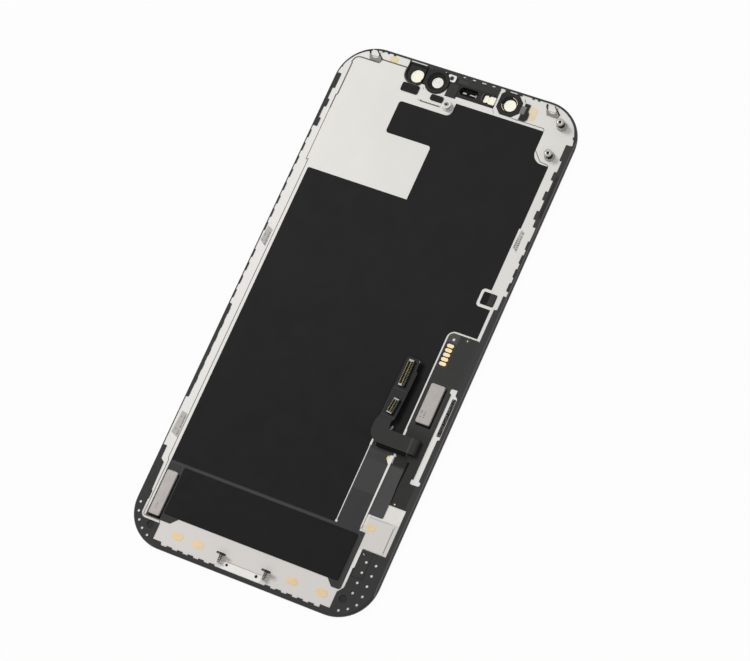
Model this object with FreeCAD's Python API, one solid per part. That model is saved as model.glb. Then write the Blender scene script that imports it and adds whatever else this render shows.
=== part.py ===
import FreeCAD, Part
import os
from math import acos, cos, pi, radians, sin, tan

# Rear side of a phone display assembly that lies on its cover glass.
# X runs towards the flex side, Y towards the sensor end, Z up from the outer face of the glass.
# The origin is the middle of that face. All sizes are millimetres.

os.makedirs("parts", exist_ok=True)

# Cover glass
glass_width = 68.9
glass_length = 144.1
glass_thickness = 0.75
glass_corner_radius = 10.6
glass_edge_bevel = 0.30

# Layers behind the glass
mask_thickness = 0.05
adhesive_thickness = 0.10
polarizer_thickness = 0.10
panel_thickness = 0.18
cushion_thickness = 0.10
plate_thickness = 0.20
mask_inset = 0.10
active_border = 2.16
panel_margin = 0.40
notch_margin = 0.88
notch_drop = 8.5
notch_shoulder_radius = 1.0
notch_corner_radius = 2.5

# Bezel frame
frame_inset = 0.05
frame_chamfer_width = 0.27
frame_chamfer_height = 0.45
frame_stack_gap = 0.10
lip_thickness = 0.14
lip_top_width = 0.70
lip_bottom_width = 1.10
block_corner_radius = 0.15
small_corner = 0.3
left_block_width = 1.65
left_recess_width = 1.05
left_blocks = [(10.05, 14.45), (17.75, 20.05), (23.35, 25.85)]
left_tooth_start = 27.15
left_tooth_count = 13
left_tooth_missing = 8
left_tooth_pitch = 3.925
left_tooth_length = 2.4
left_tooth_width = 0.75
left_ledge_gap = 1.6
left_ledge_end = 39.05
left_ledge_width = 1.20
left_ledge_wave = 0.12
left_ledge_wave_pitch = 4.0
left_ledge_wave_start = 1.0
right_block_width = 2.35
right_recess_width = 1.65
right_blocks = [(9.95, 14.55), (17.75, 20.15), (23.35, 25.85), (28.95, 31.45)]
right_recess_end = 33.45
right_tooth_start = 37.35
right_tooth_count = 4
right_tooth_pitch = 3.95
right_tooth_length = 2.4
right_tooth_width = 1.15
right_tooth_ledge = 0.75
bottom_tooth_count = 5
bottom_tooth_pitch = 3.07
bottom_tooth_length = 1.55
bottom_tooth_width = 1.45
bottom_tooth_starts = (-21.3, 6.9)
sensor_shelf = (-16.6, 9.7)
infrared_shelf = (11.0, 15.8)
sensor_shelf_width = 1.15
shelf_slot_margin = 0.12
shelf_slot_radius = 0.14
shelf_slots = [(-16.3, -11.5), (-1.2, -0.4), (1.5, 2.5), (4.15, 5.55), (7.1, 8.1), (12.25, 14.45)]
slot_lip_width = 2.05

# Small nibs of the lip near the corners of the sensor end
nib_radius = 0.42
nib_sides = 6
nib_places = [
    (-33.75, 64.2), (-32.05, 67.9), (-30.95, 69.4), (-24.6, 71.35), (-23.0, 71.4), (-21.2, 71.35),
    (18.9, 71.35), (20.5, 71.35), (29.6, 69.95), (30.9, 68.95), (33.35, 64.3), (33.8, 61.9),
]

# Outlines of the wide parts of the lip, as distances in from the side and from the end, with a radius
lower_left_lip_reach = 8.85
lower_right_lip_reach = 9.55
lower_left_lip_steps = [
    (0.0, 25.35), (1.55, 25.35), (1.55, 21.85), (2.65, 21.05), (2.85, 13.55), (3.15, 13.05), (3.15, 11.05),
    (2.95, 10.75), (2.95, 6.15, 1.5), (lower_left_lip_reach, 6.15), (lower_left_lip_reach, 1.90),
    (11.25, 1.90), (11.55, lip_bottom_width),
    (11.55, 0.0), (0.0, 0.0),
]
lower_right_lip_steps = [
    (0.0, 18.45), (7.85, 18.45), (7.85, 13.45), (8.25, 13.15), (8.25, 7.85, 1.2),
    (lower_right_lip_reach, 6.25), (lower_right_lip_reach, 1.90), (12.15, 1.90), (12.15, 0.0), (0.0, 0.0),
]
slot_lip_steps = [
    (0.0, 91.05), (1.25, 91.05), (1.25, 86.95, 0.3), (slot_lip_width, 86.95), (slot_lip_width, 62.65),
    (1.70, 62.45), (1.25, 61.95), (1.20, 50.65), (1.70, 50.45), (1.70, 39.05), (1.10, 39.05, 0.3),
    (1.10, 37.85, 0.3), (slot_lip_width, 37.85), (slot_lip_width, 31.05), (1.55, 31.05), (1.55, 18.45),
    (0.0, 18.45),
]

# Perforated lower corners of the frame
corner_hole_radius = 0.36
corner_hole_sides = 12
corner_hole_circle = 9.15
corner_hole_step = 15.0
left_corner_first_angle = 186.5
left_corner_hole_count = 5
right_corner_first_angle = 291.8
right_corner_hole_count = 3
grid_hole_columns = 2
grid_hole_rows = 4
grid_hole_pitch_x = 2.7
grid_hole_pitch_y = 2.77
grid_hole_first = (5.65, 15.65)
corner_dimple_radius = 1.05
corner_dimple_depth = 0.06
corner_dimple_sides = 20
left_dimple_place = (6.65, 5.05)
right_dimple_place = (7.25, 5.05)

# Steel stiffener frame and inner back plate
stiffener_inset = 0.45
plate_gap = 0.20
sensor_drop = 4.30
projector_x = -13.10
camera_x = -7.25
infrared_x = 13.62
carrier_clearance = 0.05
plate_carrier_gap = 0.18
sensor_web_width = 1.10
sensor_web_drop = 8.05
lobe_reach = 2.0
lobe_side = 1.4
lobe_drop = 10.65
plate_sensor_drop = 7.70
plate_left_steps = [(3.70, 6.90, 0.4), (3.70, 22.05), (3.40, 22.65)]
plate_upper_left_steps = [
    (3.40, 34.75), (2.85, 35.15), (2.85, 16.05), (3.15, 15.65), (3.15, 4.15, 0.6), (10.00, 4.15), (10.35, 3.05),
]
plate_upper_right_steps = [(9.55, plate_sensor_drop, 0.5), (9.55, 13.75), (7.05, 16.45), (4.60, 16.75, 0.4)]
plate_right_steps = [
    (4.60, 19.45, 0.5), (7.50, 19.45), (7.50, 7.85, 1.2), (9.20, 6.05), (9.20, 1.60), (11.80, 1.60),
    (11.80, stiffener_inset),
]
plate_foot_steps = [(11.25, stiffener_inset), (11.00, 1.65), (8.65, 1.65), (8.65, 6.90)]

# Graphite sheet
graphite_thickness = 0.06
graphite_corner = 0.5
graphite_side = 4.25
graphite_head = 37.05
graphite_window = (-14.60, -1.40)
graphite_window_drops = (21.55, 12.25)
graphite_window_radius = 0.8
graphite_lobe_radius = 1.6
graphite_lobe_side = 1.8
graphite_top_drop = 8.35
graphite_right_steps = [(9.35, graphite_top_drop, 0.5), (9.35, 17.00, 3.0), (4.35, 17.00, 0.4)]
graphite_side_step = (4.35, 4.75, 0.20)
graphite_slit = 0.65
graphite_slit_side = 2.95
graphite_slit_radius = 2.0
graphite_arm_step = 46.05

# Main flex circuit and what it carries
flex_thickness = 0.12
flex_side = 9.00
flex_end = 6.95
flex_notch = 8.70
flex_notch_insets = (13.05, 13.25)
flex_head = 22.45
flex_corner_radius = 0.8
arm_insets = (17.00, 10.75)
arm_ramp_foot = 40.55
arm_ramp_length = 1.70
fold_radius = 0.68
fold_inset = 5.75
ribbon_lead = 1.45
ribbon_width = 4.95
ribbon_top_step = 0.85
tail_length = 19.35
tail_insets = (17.35, 13.70)
tail_right_steps = [(-0.60, 2.10), (0.0, 2.90), (0.30, 8.60), (0.55, 15.80), (0.0, 16.40)]
tail_left_steps = [(-0.25, 10.10), (-0.35, 3.10), (-1.05, 1.10)]
tail_neck = 0.35
tail_neck_radius = 0.5
tail_bend_radius = 3.2
arm_bend_radius = 1.5
layer_overlap = 0.5
stiffener_side_steps = (0.05, -0.15)
large_stiffener_rise = (10.45, 19.25)
small_stiffener_rise = (3.15, 9.85)
stiffener_plate_thickness = 0.25
connector_height = 0.60
connector_wall = 0.28
connector_floor = 0.20
connector_end_wall = 0.56
connector_tongue_gap = 0.42
connector_tongue_height = 0.28
connector_corner_radius = 0.20
connector_clip_width = 0.40
connector_clip_radius = 0.10
large_connector_size = (1.90, 7.40)
large_connector_place = (15.75, 15.00)
large_connector_pin_count = 16
small_connector_size = (1.90, 4.40)
small_connector_place = (15.40, 5.90)
small_connector_tilt_degrees = -6.5
small_connector_pin_count = 8
pin_pitch = 0.40
pin_width = 0.18
pin_length = 0.42
pin_rise = 0.22
driver_pad_thickness = 0.20
driver_pad_insets = (8.70, 10.45)
driver_pad_rise = (8.85, 21.50)
shield_wall = 0.12
shield_height = 0.70
shield_corner_radius = 0.30
driver_shield_size = (3.10, 12.10)
driver_shield_place = (6.35, 13.65)

# Side board and touch strip
board_thickness = 0.18
board_inset = 10.00
board_edge_gap = 0.02
board_head = 77.65
board_corner_radius = 1.6
board_foot = 31.05
board_step = 43.30
board_foot_gap = 0.03
board_slot_steps = [
    (0.0, 64.15), (1.80, 64.15, 0.3), (1.80, 63.05), (1.20, 62.65), (1.20, 39.10), (1.70, 39.10),
    (1.70, 37.80, 0.3), (0.0, 37.80),
]
board_pad_hole_radius = 0.40
board_hole_place = (8.55, 76.20)
board_shield_size = (3.90, 10.80)
board_shield_place = (7.00, 58.40)
contact_count = 5
contact_pitch = 1.25
contact_size = (1.90, 0.95)
contact_first = (8.60, 74.35)
contact_thickness = 0.05
contact_frame_margin = 0.35
contact_frame_wall = 0.15
contact_frame_radius = 0.50
contact_frame_thickness = 0.06
touch_strip_thickness = 0.16
touch_strip_insets = (10.00, 6.35)
touch_strip_foot = 27.15
slot_insert_side = (1.40, 2.40)
slot_insert_rise = (51.40, 61.75)
slot_insert_thickness = 0.10

# Lower ground plate, pads and screw brackets
ground_plate_thickness = 0.12
ground_plate_insets = (9.95, 2.55)
ground_plate_rise = (18.60, 26.75)
ground_plate_gap = 0.20
ground_plate_step = (1.05, 0.60)
pad_thickness = 0.05
oval_rounding = 0.48
lower_pad_size = (3.20, 1.90)
lower_pad_rise = 4.65
left_pad_shares = (0.379, 0.695)
right_pad_shares = (0.361, 0.810)
ground_pad_size = (2.60, 1.60)
ground_pad_place = (8.25, 24.05)
bracket_places = (-6.60, 6.20)
bracket_width = 1.60
bracket_sheet = 0.30
bracket_bend_radius = 0.45
bracket_height = 2.20
bracket_rise = 4.60
bracket_foot_length = 2.50
barrel_radius = 0.50
barrel_bore_radius = 0.30
barrel_length = 2.00
barrel_seat = 0.12

# Threaded posts, latch clips and loose pads at the sensor end
post_radius = 0.82
post_bore_radius = 0.38
post_flange_radius = 1.10
post_flange_thickness = 0.25
post_top_chamfer = 0.12
post_bore_floor = 0.40
post_heights = (1.60, 2.80, 2.40)
post_drops = (9.85, 5.55, 14.25)
post_insets = (5.45, 5.20)
earpiece_post_x = -1.75
clip_width = 2.20
clip_sheet = 0.30
clip_height = 0.95
clip_reach = 1.60
clip_foot = 1.05
clip_drop = 2.75
clip_bend_radius = 0.45
clip_insets = (8.15, 9.55)
tan_pad_reach = (1.70, 3.95)
tan_pad_rise = (3.00, 6.75)
tan_pad_curve = 0.9
tan_pad_step = 0.60
tan_pad_shoulder = (1.40, 2.35)
top_pad_size = (2.40, 1.60)
top_pad_drop = 1.95
top_pad_radius = 0.5
foam_thickness = 0.30
foam_post_room = 1.75
large_foam_size = (4.90, 2.45)
large_foam_place = (-13.40, 8.20)
small_foam_size = (3.60, 1.70)
small_foam_place = (-5.40, 8.70)
square_pad_size = (3.70, 3.40)
square_pad_inset = 4.50
square_pad_lead = 11.35
square_pad_radius = 0.4
square_loop_margin = 0.80
square_loop_radius = 1.0
square_pad_thickness = 0.12

# Sensor carriers and windows
carrier_rise = 0.20
camera_ring_edge = 0.15
camera_cone_step = (0.25, 0.35)
infrared_cone_step = 0.15
window_thickness = 0.12
projector_window_radius = 1.80
camera_window_radius = 1.50
infrared_window_radius = 1.62
camera_ring_radius = 3.35
camera_ring_mouth = 2.55
camera_ring_seat = 0.25
infrared_ring_size = 6.40
infrared_ring_cut = 1.70
infrared_ring_mouth = 2.35
projector_carrier_size = (5.30, 5.55)
projector_carrier_wall = 0.30
projector_carrier_curve = 2.60
projector_carrier_shift = 0.75
earpiece_frame_span = (-0.90, 9.80)
earpiece_frame_rise = (3.10, 6.60)
earpiece_slot_span = (-0.55, 4.75)
earpiece_slot_size = 2.30
earpiece_drop = 4.60
earpiece_mesh_thickness = 0.15
flood_window_sizes = ((1.25, 2.20), (2.10, 2.35))
flood_window_places = (6.90, 8.62)
flood_window_radius = 0.35
flood_well_margin = 0.10
sensor_film_span = (-1.95, 9.60)
sensor_film_rise = (1.25, 3.00)
sensor_film_thickness = 0.15
sensor_patch_span = (-3.85, -1.05)
sensor_patch_rise = (3.35, 7.25)
sensor_patch_thickness = 0.25
sensor_patch_gap = 0.10
microphone_tab_span = (-5.10, -2.75)
microphone_tab_rise = (1.20, 3.10)
microphone_hole_radius = 0.45
microphone_tab_radius = 0.45
cable_block_gap = 0.63
cable_block_shoulder = (1.75, 0.95, 0.60)
cable_block_foot = 0.65
cable_block_head_step = 0.15
cable_block_rise = (2.70, 7.45)
cable_block_height = 0.35
cable_pad_size = (1.40, 2.20)
cable_pad_place = (0.17, 4.70)
cable_pad_thickness = 0.30

# Shortest straight edge that an outline keeps. Corners below the first radius are cut straight,
# and those between the two radii are drawn with a few chords, which keeps the many small ones light.
shortest_edge = 1e-6
smallest_curved_radius = 0.36
smallest_arc_radius = 0.98
chord_count = 4

# Edges and levels worked out from the sizes above
right = glass_width / 2
left = -right
top = glass_length / 2
bottom = -top
mask_z = glass_thickness
adhesive_z = mask_z + mask_thickness
polarizer_z = adhesive_z + adhesive_thickness
panel_z = polarizer_z + polarizer_thickness
cushion_z = panel_z + panel_thickness
plate_z = cushion_z + cushion_thickness
plate_top = plate_z + plate_thickness
lip_top = plate_top + lip_thickness
flex_top = plate_top + flex_thickness
board_top = plate_top + board_thickness
ribbon_z = board_top + 2 * fold_radius
tail_z = ribbon_z - flex_thickness
sensor_y = top - sensor_drop
notch_width = 2 * (infrared_x + infrared_ring_size / 2 + notch_margin)
arm_left = right - arm_insets[0]
arm_right = right - arm_insets[1]
fold_x = right - fold_inset
ramp_foot_y = bottom + arm_ramp_foot
ramp_top_y = ramp_foot_y + arm_ramp_length
ribbon_low_y = ramp_top_y + ribbon_lead
ribbon_high_y = ribbon_low_y + ribbon_width
ribbon_top_low_y = ribbon_low_y + ribbon_top_step
tail_left = right - tail_insets[0]
tail_right = right - tail_insets[1]
board_left = right - board_inset
square_pad_x = right - square_pad_inset
square_pad_y = bottom + board_head + square_pad_lead
post_spots = [
    (earpiece_post_x, top - post_drops[0]),
    (right - post_insets[0], top - post_drops[1]),
    (right - post_insets[1], top - post_drops[2]),
]
clip_spots = (left + clip_insets[0], right - clip_insets[1])
carrier_left = projector_x - projector_carrier_size[0] / 2 - projector_carrier_shift
cable_block_left = infrared_x + infrared_ring_size / 2 + cable_block_gap


def corner_stations(before, corner, after, radius):
    """Points along the rounding of a corner between two straight edges: two, three or a few more."""
    back = (before - corner).normalize()
    ahead = (after - corner).normalize()
    half_angle = acos(max(-1.0, min(1.0, back.dot(ahead)))) / 2
    reach = radius / tan(half_angle)
    middle_line = (back + ahead).normalize()
    centre = corner + middle_line * (radius / sin(half_angle))
    start = corner + back * reach
    end = corner + ahead * reach
    if radius < smallest_curved_radius:
        return [start, end]
    if radius >= smallest_arc_radius:
        return [start, centre - middle_line * radius, end]
    half_turn = pi / 2 - half_angle
    side_line = (end - start).normalize()
    points = []
    for index in range(1, chord_count):
        turn = half_turn * (2 * index / chord_count - 1)
        points.append(centre + side_line * (radius * sin(turn)) - middle_line * (radius * cos(turn)))
    return [start] + points + [end]


def outline(corners, place):
    """Closed face through corners (u, v) or (u, v, radius), set in space by place(u, v)."""
    spots = [place(corner[0], corner[1]) for corner in corners]
    stations = []
    for index, corner in enumerate(corners):
        spot = spots[index]
        if len(corner) == 3 and corner[2] > 0:
            after = spots[(index + 1) % len(spots)]
            stations.append(corner_stations(spots[index - 1], spot, after, corner[2]))
        else:
            stations.append([spot])
    edges = []
    for index, points in enumerate(stations):
        if len(points) == 3:
            edges.append(Part.Arc(*points).toShape())
        else:
            edges += [Part.LineSegment(one, other).toShape() for one, other in zip(points, points[1:])]
        following = stations[(index + 1) % len(stations)][0]
        if (following - points[-1]).Length > shortest_edge:
            edges.append(Part.LineSegment(points[-1], following).toShape())
    return Part.Face(Part.Wire(edges))


def plate(corners, z, thickness):
    """Flat sheet with the given outline, from z upwards."""
    face = outline(corners, lambda x, y: FreeCAD.Vector(x, y, z))
    return face.extrude(FreeCAD.Vector(0, 0, thickness))


def rectangle(x_span, y_span, radius=0.0):
    """Corners of a rectangle with one corner radius."""
    low_x, high_x = x_span
    low_y, high_y = y_span
    return [(low_x, low_y, radius), (low_x, high_y, radius), (high_x, high_y, radius), (high_x, low_y, radius)]


def centred(place, size, radius=0.0):
    """Corners of a rectangle about its centre."""
    half_x = size[0] / 2
    half_y = size[1] / 2
    return rectangle((place[0] - half_x, place[0] + half_x), (place[1] - half_y, place[1] + half_y), radius)


def stepped(steps, side, end):
    """Corners given as distances in from one side and one end of the glass, with an optional radius."""
    return [(side * (right - step[0]), end * (top - step[1])) + tuple(step[2:]) for step in steps]


def glass_outline(inset):
    """Outline that follows the edge of the glass at a distance."""
    return rectangle((left + inset, right - inset), (bottom + inset, top - inset), glass_corner_radius - inset)


def display_outline(margin):
    """Outline of the lit area grown by a margin, with the notch at the sensor end."""
    inset = active_border - margin
    corner = glass_corner_radius - inset
    half_notch = notch_width / 2 - margin
    notch_floor = top - notch_drop + margin
    shoulder = min(notch_shoulder_radius, right - inset - corner - half_notch)
    inner = notch_corner_radius
    return [
        (left + inset, bottom + inset, corner),
        (left + inset, top - inset, corner),
        (-half_notch, top - inset, shoulder),
        (-half_notch, notch_floor, inner),
        (half_notch, notch_floor, inner),
        (half_notch, top - inset, shoulder),
        (right - inset, top - inset, corner),
        (right - inset, bottom + inset, corner),
    ]


def cylinder(x, y, radius, z, height):
    """Upright cylinder on the level z."""
    return Part.makeCylinder(radius, height, FreeCAD.Vector(x, y, z))


def joined(shapes):
    """One solid made of overlapping or touching shapes."""
    return shapes[0].multiFuse(shapes[1:]).removeSplitter()


def save(name, shape):
    """Write one piece, or one group of like pieces, to its own file."""
    shape.exportStep("parts/" + name + ".step")


def cover_glass():
    body = plate(glass_outline(0.0), 0.0, glass_thickness)
    front_edges = [edge for edge in body.Edges if edge.BoundBox.ZMax < glass_thickness / 2]
    return body.makeChamfer(glass_edge_bevel, front_edges)


def window_spots():
    """Centre and radius of each round clear window."""
    return [
        (projector_x, sensor_y, projector_window_radius),
        (camera_x, sensor_y, camera_window_radius),
        (infrared_x, sensor_y, infrared_window_radius),
    ]


def flood_window_outlines(clearance):
    """Outlines of the two small rectangular windows, grown by a clearance."""
    outlines = []
    for x, size in zip(flood_window_places, flood_window_sizes):
        grown = (size[0] + 2 * clearance, size[1] + 2 * clearance)
        outlines.append(centred((x, top - earpiece_drop), grown, flood_window_radius))
    return outlines


def earpiece_slot(clearance):
    """Outline of the earpiece slot, grown by a clearance."""
    low_x, high_x = earpiece_slot_span
    half = earpiece_slot_size / 2 + clearance
    middle = top - earpiece_drop
    radius = 2 * half * oval_rounding
    return rectangle((low_x - clearance, high_x + clearance), (middle - half, middle + half), radius)


def border_mask():
    mask = plate(glass_outline(mask_inset), mask_z, mask_thickness)
    cuts = [plate(display_outline(0.0), mask_z, mask_thickness)]
    cuts += [cylinder(x, y, radius, mask_z, mask_thickness) for x, y, radius in window_spots()]
    cuts += [plate(corners, mask_z, mask_thickness) for corners in flood_window_outlines(0.0)]
    cuts.append(plate(earpiece_slot(0.0), mask_z, mask_thickness))
    return mask.cut(cuts)


def optical_adhesive():
    filling = plate(display_outline(0.0), mask_z, mask_thickness)
    sheet = plate(display_outline(panel_margin), adhesive_z, adhesive_thickness)
    return joined([filling, sheet])


def moulded_block(side, from_top, to_top, width):
    """Rectangle of the frame's lip that reaches inwards from one long side."""
    root = side * (right - stiffener_inset / 2)
    tip = side * (right - width)
    high = top - from_top
    low = top - to_top
    radius = block_corner_radius
    return plate([(root, low), (root, high), (tip, high, radius), (tip, low, radius)], plate_top, lip_thickness)


def left_lip_blocks():
    blocks = [moulded_block(-1, start, end, left_block_width) for start, end in left_blocks]
    blocks.append(moulded_block(-1, left_blocks[0][0], left_blocks[-1][1], left_recess_width))
    for index in range(left_tooth_count):
        if index != left_tooth_missing:
            start = left_tooth_start + index * left_tooth_pitch
            blocks.append(moulded_block(-1, start, start + left_tooth_length, left_tooth_width))
    teeth_end = left_tooth_start + (left_tooth_count - 1) * left_tooth_pitch + left_tooth_length
    ledge_start = teeth_end + left_ledge_gap
    ledge_end = glass_length - left_ledge_end
    blocks.append(moulded_block(-1, ledge_start, ledge_end, left_ledge_width))
    wave_count = int((ledge_end - ledge_start) / left_ledge_wave_pitch)
    for index in range(wave_count):
        start = ledge_start + left_ledge_wave_start + index * left_ledge_wave_pitch
        end = start + left_ledge_wave_pitch / 2
        blocks.append(moulded_block(-1, start, end, left_ledge_width + left_ledge_wave))
    return blocks


def right_lip_blocks():
    blocks = [moulded_block(1, start, end, right_block_width) for start, end in right_blocks]
    blocks.append(moulded_block(1, right_blocks[0][0], right_recess_end, right_recess_width))
    teeth_end = right_tooth_start + (right_tooth_count - 1) * right_tooth_pitch + right_tooth_length
    blocks.append(moulded_block(1, right_recess_end, teeth_end, right_tooth_ledge))
    for index in range(right_tooth_count):
        start = right_tooth_start + index * right_tooth_pitch
        blocks.append(moulded_block(1, start, start + right_tooth_length, right_tooth_width))
    return blocks


def bottom_lip_blocks():
    root = bottom + stiffener_inset / 2
    blocks = []
    for first in bottom_tooth_starts:
        for index in range(bottom_tooth_count):
            start = first + index * bottom_tooth_pitch
            corners = rectangle((start, start + bottom_tooth_length), (root, bottom + bottom_tooth_width))
            blocks.append(plate(corners, plate_top, lip_thickness))
    return blocks


def sensor_lip_blocks():
    blocks = []
    for span in (sensor_shelf, infrared_shelf):
        corners = rectangle(span, (top - sensor_shelf_width, top - stiffener_inset / 2))
        blocks.append(plate(corners, plate_top, lip_thickness))
    slots = []
    for span in shelf_slots:
        low = top - sensor_shelf_width + shelf_slot_margin
        corners = rectangle(span, (low, top - lip_top_width), shelf_slot_radius)
        slots.append(plate(corners, plate_top, lip_thickness))
    return [joined(blocks).cut(slots)]


def polygon(x, y, radius, sides):
    """Corners of a regular ring of straight sides."""
    angles = [2 * pi * side / sides for side in range(sides)]
    return [(x + radius * cos(angle), y + radius * sin(angle)) for angle in angles]


def corner_nibs():
    return [plate(polygon(x, y, nib_radius, nib_sides), plate_top, lip_thickness) for x, y in nib_places]


def perforation(x, y):
    """One small hole through the lip, drawn with straight sides."""
    return plate(polygon(x, y, corner_hole_radius, corner_hole_sides), plate_top, lip_thickness)


def corner_holes():
    """Holes through the lip over the steel in the two lower corners."""
    holes = []
    centre_x = right - glass_corner_radius
    centre_y = bottom + glass_corner_radius
    rows = (
        (-centre_x, left_corner_first_angle, left_corner_hole_count),
        (centre_x, right_corner_first_angle, right_corner_hole_count),
    )
    for x, first_angle, count in rows:
        for index in range(count):
            angle = radians(first_angle + index * corner_hole_step)
            hole_x = x + corner_hole_circle * cos(angle)
            hole_y = centre_y + corner_hole_circle * sin(angle)
            holes.append(perforation(hole_x, hole_y))
    for column in range(grid_hole_columns):
        for row in range(grid_hole_rows):
            hole_x = right - grid_hole_first[0] + column * grid_hole_pitch_x
            hole_y = bottom + grid_hole_first[1] - row * grid_hole_pitch_y
            holes.append(perforation(hole_x, hole_y))
    return holes


def corner_dimples():
    """Shallow round dimples in the lip of the two lower corners."""
    dimples = []
    for side, place in ((-1, left_dimple_place), (1, right_dimple_place)):
        ring = polygon(side * (right - place[0]), bottom + place[1], corner_dimple_radius, corner_dimple_sides)
        dimples.append(plate(ring, lip_top - corner_dimple_depth, corner_dimple_depth))
    return dimples


def bezel_frame():
    shoulder_z = lip_top - frame_chamfer_height
    shoulder = outline(glass_outline(frame_inset), lambda x, y: FreeCAD.Vector(x, y, shoulder_z))
    rim_inset = frame_inset + frame_chamfer_width
    rim = outline(glass_outline(rim_inset), lambda x, y: FreeCAD.Vector(x, y, lip_top))
    body = joined([
        plate(glass_outline(frame_inset), adhesive_z, shoulder_z - adhesive_z),
        Part.makeLoft([shoulder.OuterWire, rim.OuterWire], True, True),
    ])
    stack_inset = active_border - panel_margin - frame_stack_gap
    stack_bay = plate(glass_outline(stack_inset), adhesive_z, plate_z - adhesive_z)
    steel_bay = plate(glass_outline(stiffener_inset), plate_z, plate_thickness)
    side = stiffener_inset
    radius = glass_corner_radius - side
    lip_bay = plate([
        (left + side, bottom + lip_bottom_width, radius), (left + side, top - lip_top_width, radius),
        (right - side, top - lip_top_width, radius), (right - side, bottom + lip_bottom_width, radius),
    ], plate_top, lip_thickness)
    body = body.cut([stack_bay, steel_bay, lip_bay])
    reach = plate(glass_outline((stiffener_inset + rim_inset) / 2), plate_top, lip_thickness)
    wide_steps = ((lower_left_lip_steps, -1), (lower_right_lip_steps, 1), (slot_lip_steps, 1))
    wide = [plate(stepped(steps, side, -1), plate_top, lip_thickness) for steps, side in wide_steps]
    blocks = wide + left_lip_blocks() + right_lip_blocks() + bottom_lip_blocks()
    blocks += sensor_lip_blocks() + corner_nibs()
    body = joined([body, joined(blocks).common(reach)])
    return body.cut(corner_holes() + corner_dimples())


def inner_plate_outline():
    """Outline of the inner steel plate, which stops short of the stiffener frame all round."""
    lobe_x, lobe_centre_y = post_spots[0]
    sensor_edge = carrier_left - plate_carrier_gap
    carrier_low = top - sensor_shelf_width - projector_carrier_size[1] - plate_gap
    shelf_y = top - plate_upper_left_steps[-1][1]
    web_x = camera_x - camera_ring_radius + sensor_web_width
    lobe_y = lobe_centre_y - lobe_reach
    sensor_side = [
        (sensor_edge, shelf_y), (sensor_edge, carrier_low, projector_carrier_curve + plate_carrier_gap),
        (web_x - sensor_web_width, carrier_low), (web_x, top - sensor_web_drop),
        (web_x, top - lobe_drop, small_corner), (lobe_x - lobe_reach, top - lobe_drop),
        (lobe_x - lobe_reach, lobe_y, lobe_side - small_corner), (lobe_x + lobe_side, lobe_y, lobe_side),
        (lobe_x + lobe_side, top - plate_sensor_drop, small_corner),
    ]
    upper = stepped(plate_upper_left_steps, -1, 1) + sensor_side + stepped(plate_upper_right_steps, 1, 1)
    lower = stepped(plate_right_steps, 1, -1) + stepped(plate_foot_steps, -1, -1)
    return stepped(plate_left_steps, -1, -1) + upper + lower


def back_plate():
    return plate(inner_plate_outline(), plate_z, plate_thickness)


def projector_carrier_outline(clearance):
    """D-shaped outline of the projector carrier, grown by a clearance."""
    width, height = projector_carrier_size
    low_x = carrier_left - clearance
    high_x = low_x + width + 2 * clearance
    high_y = top - sensor_shelf_width + clearance
    low_y = high_y - height - 2 * clearance
    curve = projector_carrier_curve
    return [(low_x, low_y, curve), (low_x, high_y), (high_x, high_y), (high_x, low_y, small_corner)]


def infrared_ring_outline(clearance):
    """Square with cut corners round the infrared window, grown by a clearance."""
    half = infrared_ring_size / 2 + clearance
    cut = infrared_ring_cut
    x = infrared_x
    y = sensor_y
    high = top - sensor_shelf_width + clearance
    return [
        (x - half, y - half + cut), (x - half, high - cut / 2), (x - half + cut / 2, high),
        (x + half - cut, high), (x + half, high - cut), (x + half, y - half + cut),
        (x + half - cut, y - half), (x - half + cut, y - half),
    ]


def sensor_openings():
    """Openings through the stiffener frame for the sensor carriers."""
    high = top - sensor_shelf_width
    low = top - earpiece_frame_rise[1] - carrier_clearance
    frame_left, frame_right = earpiece_frame_span
    band_left = projector_x + projector_carrier_size[0] / 2 - projector_carrier_shift
    band_low = sensor_y - projector_window_radius
    patch_left = sensor_patch_span[0] - sensor_patch_gap
    patch_right = frame_left + sensor_patch_gap
    patch_low = top - sensor_patch_rise[1] - carrier_clearance
    outlines = [
        projector_carrier_outline(carrier_clearance),
        rectangle((band_left, camera_x), (band_low, high)),
        rectangle((camera_x, frame_left), (sensor_y, high)),
        rectangle((patch_left, patch_right), (patch_low, sensor_y)),
        rectangle((frame_left - carrier_clearance, frame_right + carrier_clearance), (low, high)),
    ]
    shapes = [plate(corners, plate_z, plate_thickness) for corners in outlines]
    ring_room = camera_ring_radius + carrier_clearance
    shapes.append(cylinder(camera_x, sensor_y, ring_room, plate_z, plate_thickness))
    return [joined(shapes), plate(infrared_ring_outline(carrier_clearance), plate_z, plate_thickness)]


def stiffener_frame():
    sheet = plate(glass_outline(stiffener_inset), plate_z, plate_thickness)
    inner = outline(inner_plate_outline(), lambda x, y: FreeCAD.Vector(x, y, plate_z))
    bay = inner.makeOffset2D(plate_gap).extrude(FreeCAD.Vector(0, 0, plate_thickness))
    return sheet.cut([bay] + sensor_openings())


def notch_filler():
    """Black moulding that fills the notch between the mask and the steel."""
    gap = frame_stack_gap
    half = notch_width / 2 - panel_margin - gap
    low = top - notch_drop + panel_margin + gap
    high = top - active_border + panel_margin + gap
    height = plate_z - adhesive_z
    inner = notch_corner_radius - gap
    block = plate([(-half, low, inner), (-half, high), (half, high), (half, low, inner)], adhesive_z, height)
    wells = [
        plate(projector_carrier_outline(carrier_clearance), adhesive_z, height),
        cylinder(camera_x, sensor_y, camera_ring_radius + carrier_clearance, adhesive_z, height),
        plate(infrared_ring_outline(carrier_clearance), adhesive_z, height),
        plate(earpiece_slot(carrier_clearance), adhesive_z, height),
    ]
    wells += [plate(corners, adhesive_z, height) for corners in flood_window_outlines(carrier_clearance)]
    return block.cut(wells)


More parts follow.
